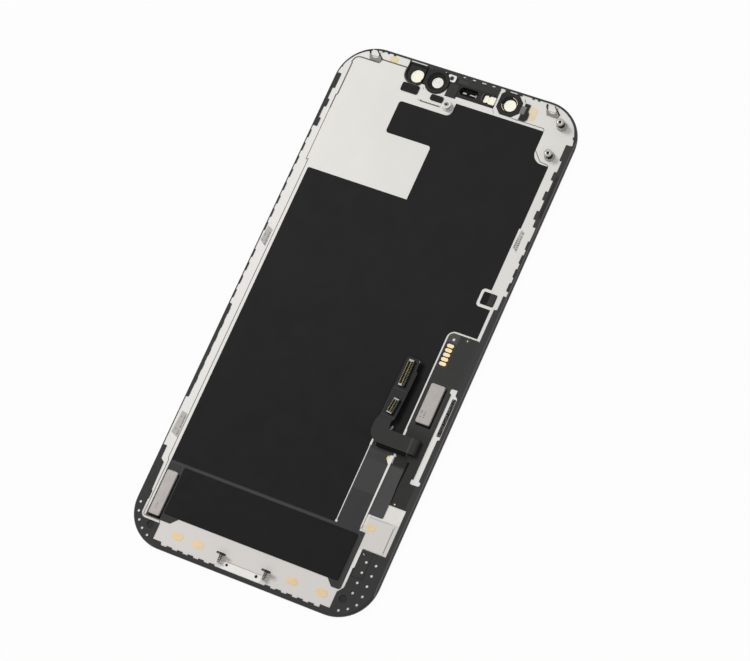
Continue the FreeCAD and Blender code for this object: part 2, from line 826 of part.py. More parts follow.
def frame_step():
    """Room of the frame's base at the sensor end, which the carriers leave free."""
    stack_edge = top - active_border + panel_margin + frame_stack_gap
    return plate(rectangle((left, right), (stack_edge - carrier_clearance, top)), 0.0, plate_z)


def projector_carrier():
    """Open tray with a D-shaped wall round the projector window."""
    rim = plate_top + carrier_rise
    body = plate(projector_carrier_outline(0.0), adhesive_z, rim - adhesive_z)
    floor_z = plate_z
    inner = plate(projector_carrier_outline(-projector_carrier_wall), floor_z, rim - floor_z)
    hole = cylinder(projector_x, sensor_y, projector_window_radius + carrier_clearance, adhesive_z, rim)
    return body.cut([inner, hole, frame_step()])


def camera_ring():
    """Turned cup with a cone that runs down to the camera window."""
    rim = plate_top + 2 * carrier_rise
    seat_z = adhesive_z + camera_ring_seat
    window = camera_window_radius + carrier_clearance
    outer = camera_ring_radius
    step_r, step_z = camera_cone_step
    section = [
        (window, adhesive_z), (outer, adhesive_z), (outer, rim - camera_ring_edge),
        (outer - camera_ring_edge, rim), (camera_ring_mouth, rim),
        (camera_ring_mouth - step_r, seat_z + step_z), (window, seat_z),
    ]
    face = outline(section, lambda r, z: FreeCAD.Vector(camera_x + r, sensor_y, z))
    ring = face.revolve(FreeCAD.Vector(camera_x, sensor_y, 0), FreeCAD.Vector(0, 0, 1), 360)
    shelf = rectangle((camera_x - outer, camera_x + outer), (top - sensor_shelf_width, top))
    shelf_room = plate(shelf, 0.0, rim)
    return ring.cut([shelf_room, frame_step()])


def infrared_ring():
    """Moulded block with cut corners and a stepped cone round the infrared window."""
    rim = plate_top + carrier_rise
    seat_z = adhesive_z + camera_ring_seat
    body = plate(infrared_ring_outline(0.0), adhesive_z, rim - adhesive_z)
    window = infrared_window_radius + carrier_clearance
    bore = cylinder(infrared_x, sensor_y, window, adhesive_z, rim)
    seat = FreeCAD.Vector(infrared_x, sensor_y, seat_z)
    cone = Part.makeCone(window + infrared_cone_step, infrared_ring_mouth, rim - seat_z, seat)
    return body.cut([bore, cone, frame_step()])


def window_disc(spot):
    """Round window that fills its hole in the mask and stands just inside its carrier."""
    x, y, radius = spot
    return cylinder(x, y, radius, mask_z, window_thickness)


def flood_windows():
    windows = [plate(corners, mask_z, window_thickness) for corners in flood_window_outlines(0.0)]
    return Part.makeCompound(windows)


def earpiece_frame():
    """Black frame that fills its opening in the steel, with the slot and the window wells."""
    low = top - earpiece_frame_rise[1]
    high = top - earpiece_frame_rise[0]
    thickness = plate_thickness + carrier_rise / 2
    body = plate(rectangle(earpiece_frame_span, (low, high), small_corner), plate_z, thickness)
    wells = [plate(corners, plate_z, thickness) for corners in flood_window_outlines(flood_well_margin)]
    wells.append(plate(earpiece_slot(0.0), plate_z, thickness))
    return body.cut(wells)


def earpiece_mesh():
    return plate(earpiece_slot(0.0), mask_z, earpiece_mesh_thickness)


def sensor_film():
    corners = rectangle(sensor_film_span, (top - sensor_film_rise[1], top - sensor_film_rise[0]))
    return plate(corners, plate_z, sensor_film_thickness)


def sensor_patch():
    y_span = (top - sensor_patch_rise[1], top - sensor_patch_rise[0])
    return plate(rectangle(sensor_patch_span, y_span, small_corner), plate_z, sensor_patch_thickness)


def microphone_tab():
    """Bright metal tab round the microphone hole."""
    low = top - microphone_tab_rise[1]
    high = top - microphone_tab_rise[0]
    middle = (microphone_tab_span[0] + microphone_tab_span[1]) / 2
    corners = rectangle(microphone_tab_span, (low, high), microphone_tab_radius)
    body = plate(corners, plate_z, sensor_patch_thickness)
    hole = cylinder(middle, (low + high) / 2, microphone_hole_radius, plate_z, sensor_patch_thickness)
    room_radius = camera_ring_radius + carrier_clearance
    ring_room = cylinder(camera_x, sensor_y, room_radius, plate_z, sensor_patch_thickness)
    return body.cut([hole, ring_room])


def graphite_sheet():
    """Graphite sheet with the bay over the speaker side, the square loop and the slit by the board."""
    lobe_edge = earpiece_post_x + graphite_lobe_side
    low_x, high_x = graphite_window
    window_low, window_high = graphite_window_drops
    radius = graphite_window_radius
    loop_x = square_pad_x - square_pad_size[0] / 2 - square_loop_margin
    loop_half = square_pad_size[1] / 2 + square_loop_margin
    loop_high = square_pad_y + loop_half
    loop_low = square_pad_y - loop_half
    step_out, step_in, step_rise = graphite_side_step
    step_y = (top - graphite_right_steps[-1][1] + loop_high) / 2
    slit_y = bottom + board_head + graphite_slit
    slit_x = right - graphite_slit_side
    board_x = board_left - graphite_slit
    arm_x = arm_left - graphite_slit
    corners = [
        (left + graphite_side, bottom + flex_head),
        (left + graphite_side, top - graphite_head, graphite_corner),
        (high_x, top - graphite_head), (high_x, top - window_low, radius), (low_x, top - window_low, radius),
        (low_x, top - window_high, radius), (lobe_edge, top - window_high, graphite_lobe_radius),
        (lobe_edge, top - graphite_top_drop),
    ]
    corners += stepped(graphite_right_steps, 1, 1)
    corners += [
        (right - step_out, step_y), (right - step_in, step_y - step_rise), (right - step_in, loop_high),
        (loop_x, loop_high, square_loop_radius), (loop_x, loop_low, square_loop_radius),
        (slit_x, loop_low), (slit_x, slit_y),
        (board_x, slit_y, graphite_slit_radius), (board_x, bottom + graphite_arm_step),
        (arm_x, bottom + graphite_arm_step), (arm_x, bottom + flex_head),
    ]
    return plate(corners, plate_top, graphite_thickness)


def square_pad():
    corners = centred((square_pad_x, square_pad_y), square_pad_size, square_pad_radius)
    return plate(corners, plate_top, square_pad_thickness)


def flex_border():
    """Wide lower area of the main flex circuit, with its two chamfered notches."""
    low = bottom + flex_end
    notch = bottom + flex_notch
    notch_left = left + flex_notch_insets[0]
    notch_right = right - flex_notch_insets[1]
    step = notch - low
    return plate([
        (left + graphite_side, bottom + flex_head), (right - flex_side, bottom + flex_head),
        (right - flex_side, low, flex_corner_radius), (notch_right + step, low), (notch_right, notch),
        (notch_left, notch), (notch_left - step, low), (left + graphite_side, low),
    ], plate_top, flex_thickness)


def flex_arm():
    """Arm that rises from the back plate to the level of the side board."""
    start = bottom + flex_head - layer_overlap
    foot = ramp_foot_y
    head = ramp_top_y
    end = ribbon_high_y
    bend = arm_bend_radius
    section = [
        (start, plate_top), (foot, plate_top, bend), (head, board_top, bend), (end, board_top),
        (end, board_top + flex_thickness), (head, board_top + flex_thickness, bend),
        (foot, flex_top, bend), (start, flex_top),
    ]
    face = outline(section, lambda y, z: FreeCAD.Vector(arm_left, y, z))
    return face.extrude(FreeCAD.Vector(arm_right - arm_left, 0, 0))


def ribbon_fold():
    """Half turn of the ribbon, from the lower layer to the upper one."""
    low = ribbon_top_low_y
    high = ribbon_high_y
    centre_z = board_top + fold_radius
    outer = fold_radius
    inner = fold_radius - flex_thickness
    start = arm_right - layer_overlap

    inside_z = board_top + flex_thickness

    def spot(x, z):
        return FreeCAD.Vector(x, low, z)

    edges = [
        Part.LineSegment(spot(start, board_top), spot(fold_x, board_top)).toShape(),
        Part.Arc(spot(fold_x, board_top), spot(fold_x + outer, centre_z), spot(fold_x, ribbon_z)).toShape(),
        Part.LineSegment(spot(fold_x, ribbon_z), spot(start, ribbon_z)).toShape(),
        Part.LineSegment(spot(start, ribbon_z), spot(start, tail_z)).toShape(),
        Part.LineSegment(spot(start, tail_z), spot(fold_x, tail_z)).toShape(),
        Part.Arc(spot(fold_x, tail_z), spot(fold_x + inner, centre_z), spot(fold_x, inside_z)).toShape(),
        Part.LineSegment(spot(fold_x, inside_z), spot(start, inside_z)).toShape(),
        Part.LineSegment(spot(start, inside_z), spot(start, board_top)).toShape(),
    ]
    return Part.Face(Part.Wire(edges)).extrude(FreeCAD.Vector(0, high - low, 0))


def ribbon_tail():
    """Upper layer that turns from the fold into the tail with the two connectors."""
    high = ribbon_high_y
    low = ribbon_top_low_y
    far = high + tail_length
    corners = [(fold_x, high), (tail_right - tail_neck, high, tail_neck_radius)]
    corners += [(tail_right + x, high + y) for x, y in tail_right_steps]
    corners += [(tail_right, far, small_corner), (tail_left, far, small_corner)]
    corners += [(tail_left + x, high + y) for x, y in tail_left_steps]
    corners += [(tail_left + tail_left_steps[-1][0], low, tail_bend_radius), (fold_x, low)]
    return plate(corners, tail_z, flex_thickness)


def main_flex():
    strip = rectangle((arm_right - layer_overlap, fold_x), (ribbon_low_y, ribbon_high_y))
    lower_layer = plate(strip, board_top, flex_thickness)
    return joined([flex_border(), flex_arm(), lower_layer, ribbon_fold(), ribbon_tail()])


def tail_stiffener(rise, side_step):
    """Stiff backing under the tail, behind one connector."""
    edge = stiffener_side_steps[0]
    span = (tail_left + side_step, tail_right - edge)
    corners = rectangle(span, (ribbon_high_y + rise[0], ribbon_high_y + rise[1]), small_corner)
    return plate(corners, tail_z - stiffener_plate_thickness, stiffener_plate_thickness)


def connector_spots(size, count):
    """Places of the contacts of a connector in its own frame, in two rows."""
    reach = size[0] / 2 - connector_wall - pin_length / 2
    first = -(count - 1) * pin_pitch / 2
    return [(side * reach, first + index * pin_pitch) for side in (-1, 1) for index in range(count)]


def connector_body(size):
    """Socket with an outer wall, a trough and a middle tongue."""
    half_tongue = size[0] / 2 - connector_wall - pin_length
    length = size[1]
    block = plate(centred((0, 0), size, connector_corner_radius), 0, connector_height)
    trough_size = (size[0] - 2 * connector_wall, length - 2 * connector_end_wall)
    trough = plate(centred((0, 0), trough_size), connector_floor, connector_height)
    tongue_size = (2 * half_tongue, length - 2 * (connector_end_wall + connector_tongue_gap))
    tongue = plate(centred((0, 0), tongue_size), connector_floor, connector_tongue_height)
    return joined([block.cut(trough), tongue])


def connector_contacts(size, count):
    """Contacts in the trough and the metal clips on both ends of a socket."""
    pins = []
    for x, y in connector_spots(size, count):
        pins.append(plate(centred((x, y), (pin_length, pin_width)), connector_floor, pin_rise))
    for side in (-1, 1):
        middle = (0, side * (size[1] - connector_end_wall) / 2)
        clip_size = (size[0] - connector_wall, connector_clip_width)
        corners = centred(middle, clip_size, connector_clip_radius)
        pins.append(plate(corners, connector_height, contact_thickness))
    return Part.makeCompound(pins)


def on_tail(shape, place, tilt):
    """Turn a connector shape and set it on the tail."""
    shape.rotate(FreeCAD.Vector(0, 0, 0), FreeCAD.Vector(0, 0, 1), tilt)
    shape.translate(FreeCAD.Vector(right - place[0], ribbon_high_y + place[1], ribbon_z))
    return shape


def driver_pad():
    low, high = driver_pad_rise
    x_span = (left + driver_pad_insets[0], right - driver_pad_insets[1])
    corners = rectangle(x_span, (bottom + low, bottom + high), small_corner)
    return plate(corners, flex_top, driver_pad_thickness)


def shield_can(centre, size, z):
    """Drawn can with bevelled upper edges, open below."""
    can = plate(centred(centre, size, shield_corner_radius), z, shield_height)
    upper = [edge for edge in can.Edges if edge.BoundBox.ZMin > z + shield_height / 2]
    can = can.makeChamfer(shield_wall, upper)
    inner_size = (size[0] - 2 * shield_wall, size[1] - 2 * shield_wall)
    inner_radius = shield_corner_radius - shield_wall
    return can.cut(plate(centred(centre, inner_size, inner_radius), z, shield_height - shield_wall))


def side_board():
    edge = right - slot_lip_width - board_edge_gap
    foot = bottom + board_foot
    step = bottom + board_step
    head = bottom + board_head
    corners = [(board_left, step), (board_left, head, board_corner_radius), (edge, head)]
    corners += [(edge - slot[0], bottom + slot[1]) + tuple(slot[2:]) for slot in board_slot_steps]
    foot_x = right - touch_strip_insets[1] + board_foot_gap
    corners += [(edge, foot), (foot_x, foot), (foot_x, step)]
    board = plate(corners, plate_top, board_thickness)
    hole_inset, hole_rise = board_hole_place
    hole_x = right - hole_inset
    return board.cut(cylinder(hole_x, bottom + hole_rise, board_pad_hole_radius, plate_top, board_thickness))


def board_contacts():
    pads = []
    for index in range(contact_count):
        middle = (right - contact_first[0], bottom + contact_first[1] - index * contact_pitch)
        corners = centred(middle, contact_size, contact_size[1] * oval_rounding)
        pads.append(plate(corners, board_top, contact_thickness))
    return Part.makeCompound(pads)


def contact_frame():
    """Raised line round the row of contacts."""
    run = (contact_count - 1) * contact_pitch
    middle = (right - contact_first[0], bottom + contact_first[1] - run / 2)
    inner = (contact_size[0] + 2 * contact_frame_margin, run + contact_size[1] + 2 * contact_frame_margin)
    outer = (inner[0] + 2 * contact_frame_wall, inner[1] + 2 * contact_frame_wall)
    inner_radius = contact_frame_radius - contact_frame_wall
    ring = plate(centred(middle, outer, contact_frame_radius), board_top, contact_frame_thickness)
    return ring.cut(plate(centred(middle, inner, inner_radius), board_top, contact_frame_thickness))


def touch_strip():
    x_span = (right - touch_strip_insets[0], right - touch_strip_insets[1])
    y_span = (bottom + touch_strip_foot, bottom + board_step - board_foot_gap)
    corners = rectangle(x_span, y_span, small_corner)
    return plate(corners, plate_top, touch_strip_thickness)


def slot_insert():
    low, high = slot_insert_rise
    span = (right - slot_insert_side[1], right - slot_insert_side[0])
    corners = rectangle(span, (bottom + low, bottom + high), block_corner_radius)
    return plate(corners, plate_top, slot_insert_thickness)


def ground_plate():
    """Stepped ground plate beside the flex border."""
    low_x = right - ground_plate_insets[0]
    high_x = right - ground_plate_insets[1]
    low, high = ground_plate_rise
    flex_x = right - flex_side + ground_plate_gap
    step_x, step_y = ground_plate_step
    step_low = bottom + flex_head - step_y / 2
    corners = [
        (low_x, bottom + high), (high_x, bottom + high, small_corner), (high_x, bottom + low),
        (flex_x + step_x, bottom + low), (flex_x + step_x, step_low), (flex_x, step_low + step_y),
        (low_x, step_low + step_y),
    ]
    return plate(corners, plate_top, ground_plate_thickness)


def lower_pads():
    lip_edges = (left + lower_left_lip_reach, right - lower_right_lip_reach)
    places = []
    for bracket_x, lip_x, shares in zip(bracket_places, lip_edges, (left_pad_shares, right_pad_shares)):
        places += [bracket_x + share * (lip_x - bracket_x) for share in shares]
    pads = []
    for x in places:
        spot = (x, bottom + lower_pad_rise)
        corners = centred(spot, lower_pad_size, lower_pad_size[1] * oval_rounding)
        pads.append(plate(corners, plate_top, pad_thickness))
    return Part.makeCompound(pads)


def ground_pad():
    spot = (right - ground_pad_place[0], bottom + ground_pad_place[1])
    corners = centred(spot, ground_pad_size, ground_pad_size[1] * oval_rounding)
    return plate(corners, plate_top + ground_plate_thickness, pad_thickness)


def screw_bracket(x):
    """Bent sheet bracket with a threaded barrel along Y."""
    face_y = bottom + bracket_rise
    sheet = bracket_sheet
    foot_y = face_y - bracket_foot_length
    head_z = plate_top + bracket_height
    section = [
        (foot_y, plate_top), (face_y, plate_top, bracket_bend_radius), (face_y, head_z),
        (face_y - sheet, head_z), (face_y - sheet, plate_top + sheet, bracket_bend_radius - sheet),
        (foot_y, plate_top + sheet),
    ]
    face = outline(section, lambda y, z: FreeCAD.Vector(x - bracket_width / 2, y, z))
    bracket = face.extrude(FreeCAD.Vector(bracket_width, 0, 0))
    axis_z = plate_top + sheet + barrel_radius - barrel_seat
    along = FreeCAD.Vector(0, -1, 0)
    barrel_start = face_y - sheet
    barrel = Part.makeCylinder(barrel_radius, barrel_length, FreeCAD.Vector(x, barrel_start, axis_z), along)
    mouth = FreeCAD.Vector(x, face_y + sheet, axis_z)
    bore = Part.makeCylinder(barrel_bore_radius, barrel_length + 2 * sheet, mouth, along)
    return joined([bracket, barrel]).cut(bore)


def post(spot, height):
    """Turned post on a flange with a blind threaded bore."""
    head = plate_top + height
    floor = plate_top + post_bore_floor
    flange_top = plate_top + post_flange_thickness
    section = [
        (0, plate_top), (post_flange_radius, plate_top), (post_flange_radius, flange_top),
        (post_radius, flange_top), (post_radius, head - post_top_chamfer),
        (post_radius - post_top_chamfer, head), (post_bore_radius, head), (post_bore_radius, floor), (0, floor),
    ]
    x, y = spot
    face = outline(section, lambda r, z: FreeCAD.Vector(x + r, y, z))
    return face.revolve(FreeCAD.Vector(x, y, 0), FreeCAD.Vector(0, 0, 1), 360)


def screw_posts():
    return Part.makeCompound([post(spot, height) for spot, height in zip(post_spots, post_heights)])


def latch_clip(x):
    """Bent sheet hook that stands at the sensor end and points outwards."""
    inner_y = top - clip_drop
    sheet = clip_sheet
    head = plate_top + clip_height
    section = [
        (inner_y - clip_foot, plate_top), (inner_y + sheet, plate_top, clip_bend_radius),
        (inner_y + sheet, head - sheet, clip_bend_radius - sheet), (inner_y + clip_reach, head - sheet),
        (inner_y + clip_reach, head), (inner_y, head, clip_bend_radius),
        (inner_y, plate_top + sheet, clip_bend_radius - sheet), (inner_y - clip_foot, plate_top + sheet),
    ]
    face = outline(section, lambda y, z: FreeCAD.Vector(x - clip_width / 2, y, z))
    return face.extrude(FreeCAD.Vector(clip_width, 0, 0))


def top_pad():
    clip_edge = clip_spots[0] + clip_width / 2
    spot = ((clip_edge + carrier_left) / 2, top - top_pad_drop)
    return plate(centred(spot, top_pad_size, top_pad_radius), plate_top, pad_thickness)


def tan_pad():
    low_x, high_x = [cable_block_left + reach for reach in tan_pad_reach]
    high = top - tan_pad_rise[0]
    low = top - tan_pad_rise[1]
    inner_x = low_x + tan_pad_step
    return plate([
        (low_x, high), (high_x, high, tan_pad_curve), (high_x, low, tan_pad_curve), (inner_x, low),
        (inner_x, high - tan_pad_shoulder[1]), (low_x, high - tan_pad_shoulder[0]),
    ], plate_top, pad_thickness)


def cable_block():
    """Black connector part that wraps round its metal pad."""
    high = top - cable_block_rise[0]
    low = top - cable_block_rise[1]
    x = cable_block_left
    head_x = x + cable_block_head_step
    pad_half = cable_pad_size[1] / 2 + 2 * carrier_clearance
    pad_y = top - cable_pad_place[1]
    pad_right = x + cable_pad_place[0] + cable_pad_size[0] / 2 + 2 * carrier_clearance
    near = x + tan_pad_reach[0] - cable_block_head_step
    first, second, wide = cable_block_shoulder
    return plate([
        (head_x, high), (near, high), (near, high - first), (near + wide, high - first - second),
        (near + wide, low + cable_block_foot), (near, low), (x, low), (x, pad_y - pad_half),
        (pad_right, pad_y - pad_half), (pad_right, pad_y + pad_half), (head_x, pad_y + pad_half),
    ], plate_top, cable_block_height)


def cable_pad():
    spot = (cable_block_left + cable_pad_place[0], top - cable_pad_place[1])
    return plate(centred(spot, cable_pad_size, block_corner_radius), plate_top, cable_pad_thickness)


def foam_pads():
    post_x, post_y = post_spots[0]
    post_room = cylinder(post_x, post_y, foam_post_room, plate_top, foam_thickness)
    pads = []
    for place, size in ((large_foam_place, large_foam_size), (small_foam_place, small_foam_size)):
        corners = centred((place[0], top - place[1]), size, small_corner)
        pads.append(plate(corners, plate_top, foam_thickness).cut(post_room))
    return Part.makeCompound(pads)


def save_layers():
    save("cover_glass", cover_glass())
    save("border_mask", border_mask())
    save("optical_adhesive", optical_adhesive())
    save("polarizer_film", plate(display_outline(panel_margin), polarizer_z, polarizer_thickness))
    save("display_panel", plate(display_outline(panel_margin), panel_z, panel_thickness))
    save("panel_cushion", plate(display_outline(panel_margin), cushion_z, cushion_thickness))
    save("back_plate", back_plate())
    save("stiffener_frame", stiffener_frame())
    save("bezel_frame", bezel_frame())
    save("graphite_sheet", graphite_sheet())


def save_sensor_end():
    save("notch_filler", notch_filler())
    save("projector_carrier", projector_carrier())
    save("camera_ring", camera_ring())
    save("infrared_ring", infrared_ring())
    for name, spot in zip(("projector_window", "camera_window", "infrared_window"), window_spots()):
        save(name, window_disc(spot))
    save("flood_windows", flood_windows())
    save("earpiece_frame", earpiece_frame())
    save("earpiece_mesh", earpiece_mesh())
    save("sensor_film", sensor_film())
    save("sensor_patch", sensor_patch())
    save("microphone_tab", microphone_tab())
    save("foam_pads", foam_pads())
    save("cable_block", cable_block())
    save("cable_pad", cable_pad())
    save("tan_pad", tan_pad())
    save("top_pad", top_pad())
    save("screw_posts", screw_posts())
    for name, x in zip(("left_latch_clip", "right_latch_clip"), clip_spots):
        save(name, latch_clip(x))


def save_flex_side():
    save("main_flex", main_flex())
    save("driver_pad", driver_pad())
    driver_spot = (left + driver_shield_place[0], bottom + driver_shield_place[1])
    save("driver_shield", shield_can(driver_spot, driver_shield_size, flex_top))
    save("side_board", side_board())
    board_spot = (right - board_shield_place[0], bottom + board_shield_place[1])
    save("board_shield", shield_can(board_spot, board_shield_size, board_top))
    save("board_contacts", board_contacts())
    save("contact_frame", contact_frame())
    save("touch_strip", touch_strip())
    save("slot_insert", slot_insert())
    save("square_pad", square_pad())
    save("large_stiffener", tail_stiffener(large_stiffener_rise, stiffener_side_steps[0]))
    save("small_stiffener", tail_stiffener(small_stiffener_rise, stiffener_side_steps[1]))
    sockets = (
        ("large", large_connector_size, large_connector_place, large_connector_pin_count, 0.0),
        ("small", small_connector_size, small_connector_place, small_connector_pin_count,
         small_connector_tilt_degrees),
    )
    for name, size, place, count, tilt in sockets:
        save(name + "_connector", on_tail(connector_body(size), place, tilt))
        save(name + "_connector_contacts", on_tail(connector_contacts(size, count), place, tilt))


def save_lower_end():
    save("ground_plate", ground_plate())
    save("ground_pad", ground_pad())
    save("lower_pads", lower_pads())
    for name, x in zip(("left_screw_bracket", "right_screw_bracket"), bracket_places):
        save(name, screw_bracket(x))


save_layers()
save_sensor_end()
save_flex_side()
save_lower_end()
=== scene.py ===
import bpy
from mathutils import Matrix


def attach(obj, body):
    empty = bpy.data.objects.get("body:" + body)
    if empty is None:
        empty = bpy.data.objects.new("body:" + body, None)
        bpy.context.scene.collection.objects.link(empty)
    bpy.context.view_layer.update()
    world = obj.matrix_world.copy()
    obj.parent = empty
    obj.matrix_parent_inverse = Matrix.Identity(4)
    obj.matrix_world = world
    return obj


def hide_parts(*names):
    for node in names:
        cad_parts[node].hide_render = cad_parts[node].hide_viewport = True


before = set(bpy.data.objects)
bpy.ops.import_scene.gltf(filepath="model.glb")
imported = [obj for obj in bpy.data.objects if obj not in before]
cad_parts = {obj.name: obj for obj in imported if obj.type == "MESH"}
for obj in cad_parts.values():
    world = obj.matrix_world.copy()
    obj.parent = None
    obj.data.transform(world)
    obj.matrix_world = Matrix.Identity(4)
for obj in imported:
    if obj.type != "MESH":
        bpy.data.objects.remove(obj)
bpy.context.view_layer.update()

import math

import bmesh
import bpy
from mathutils import Matrix, Vector

# Places are millimetres in the row frame and are turned into metres when a mesh is written
mm = 0.001
plateTop = 1.48
pinhole = 0.0005  # inner radius of a turned disc, all but closed
weldGap = 2e-7  # metres: vertices of a CAD mesh that lie closer are one
joinGap = 1e-8  # metres: the same in the meshes made here
levelGap = 1e-6  # metres: a vertex this near to the highest lies on the upper face
smoothAngles = {"turned": 35, "finished": 48, "grown": 50}


# Small helpers for node trees, shared by the materials and the geometry trees
def addNode(tree, kind, sockets=(), **settings):
    node = tree.nodes.new(kind)
    for key, value in settings.items():
        setattr(node, key, value)
    for key, value in sockets:
        if isinstance(value, bpy.types.NodeSocket):
            tree.links.new(value, node.inputs[key])
        else:
            node.inputs[key].default_value = value
    return node


def output(tree, kind, sockets=(), **settings):
    return addNode(tree, kind, sockets, **settings).outputs[0]


def math2(tree, operation, first, second):
    return output(tree, "ShaderNodeMath", [(0, first), (1, second)], operation=operation)


def tone(red, green, blue):
    # Screen values from 0 to 255 as a linear colour
    channels = []
    for value in (red, green, blue):
        share = value / 255
        channels.append(share / 12.92 if share <= 0.04045 else ((share + 0.055) / 1.055) ** 2.4)
    return (*channels, 1.0)


def boxMask(tree, place, zone):
    # One inside the box and nothing outside, with a soft edge
    lowX, highX, lowY, highY, edge = zone[:5]
    axes = addNode(tree, "ShaderNodeSeparateXYZ", [(0, place)]).outputs
    mask = None
    for axis, low, high in ((axes[0], lowX, highX), (axes[1], lowY, highY)):
        for limit, sign in ((low, 1), (high, -1)):
            shifted = math2(tree, "SUBTRACT", axis, limit * mm)
            step = output(tree, "ShaderNodeMath", [(0, shifted), (1, sign / (edge * mm)), (2, 0.5)],
                          operation="MULTIPLY_ADD", use_clamp=True)
            mask = step if mask is None else math2(tree, "MULTIPLY", mask, step)
    return mask


def mixColor(tree, factor, first, second, blend="MIX"):
    # Sockets 6 and 7 hold the colours, and output 2 their mix
    return addNode(tree, "ShaderNodeMix", [(0, factor), (6, first), (7, second)], data_type="RGBA",
                   blend_type=blend).outputs[2]


def noiseShare(tree, vector, scale, low, high):
    # Noise lies mostly between 0.3 and 0.7, which is spread over low to high
    noise = output(tree, "ShaderNodeTexNoise", [("Vector", vector), ("Scale", scale), ("Detail", 3.0)])
    return output(tree, "ShaderNodeMapRange", [("Value", noise), ("From Min", 0.3), ("From Max", 0.7),
                                               ("To Min", low), ("To Max", high)])


def newMaterial(name, bare=False):
    # A bare one starts with its output node alone
    material = bpy.data.materials.new(name)
    material.use_nodes = True
    tree = material.node_tree
    if bare:
        tree.nodes.remove(tree.nodes["Principled BSDF"])
    return material, tree


# What a material has when its entry in the palette doesn't say
basics = {"rough": 0.5, "mottle": (0.04, 125), "grain": (0.15, 9000), "metal": 0.0, "specular": 0.2,
          "clear": 0.0, "ior": 1.5, "zones": ()}
surface = {"roughFiner": 4, "roughSpread": 0.04, "grainDetail": 2.0, "grainDepth": 0.00002}


def makeMaterial(name, own):
    # Mottled colour, fine grain, brushed streaks and boxes of another tone
    spec = {**basics, **own}
    material, tree = newMaterial(name)
    shader = tree.nodes["Principled BSDF"]
    place = addNode(tree, "ShaderNodeTexCoord").outputs["Object"]
    amount, scale = spec["mottle"]
    mottle = noiseShare(tree, place, scale, 1 - amount, 1 + amount)
    color = mixColor(tree, 1.0, tone(*spec["color"]), mottle, "MULTIPLY")
    for zone in spec["zones"]:
        color = mixColor(tree, boxMask(tree, place, zone), color, tone(*zone[5]))
    tree.links.new(color, shader.inputs["Base Color"])
    vector, finer, spread = place, scale * surface["roughFiner"], surface["roughSpread"]
    if "streak" in spec:
        stretch, finer, spread = spec["streak"]
        vector = output(tree, "ShaderNodeMapping", [("Vector", place), ("Scale", stretch)])
    share = noiseShare(tree, vector, finer, spec["rough"] - spread, spec["rough"] + spread)
    tree.links.new(share, shader.inputs["Roughness"])
    strength, grainScale = spec["grain"]
    grain = output(tree, "ShaderNodeTexNoise",
                   [("Vector", place), ("Scale", grainScale), ("Detail", surface["grainDetail"])])
    bump = output(tree, "ShaderNodeBump",
                  [("Strength", strength), ("Distance", surface["grainDepth"]), ("Height", grain)])
    tree.links.new(bump, shader.inputs["Normal"])
    for label, key in (("Metallic", "metal"), ("Specular IOR Level", "specular"),
                       ("Transmission Weight", "clear"), ("IOR", "ior")):
        shader.inputs[label].default_value = spec[key]
    return material


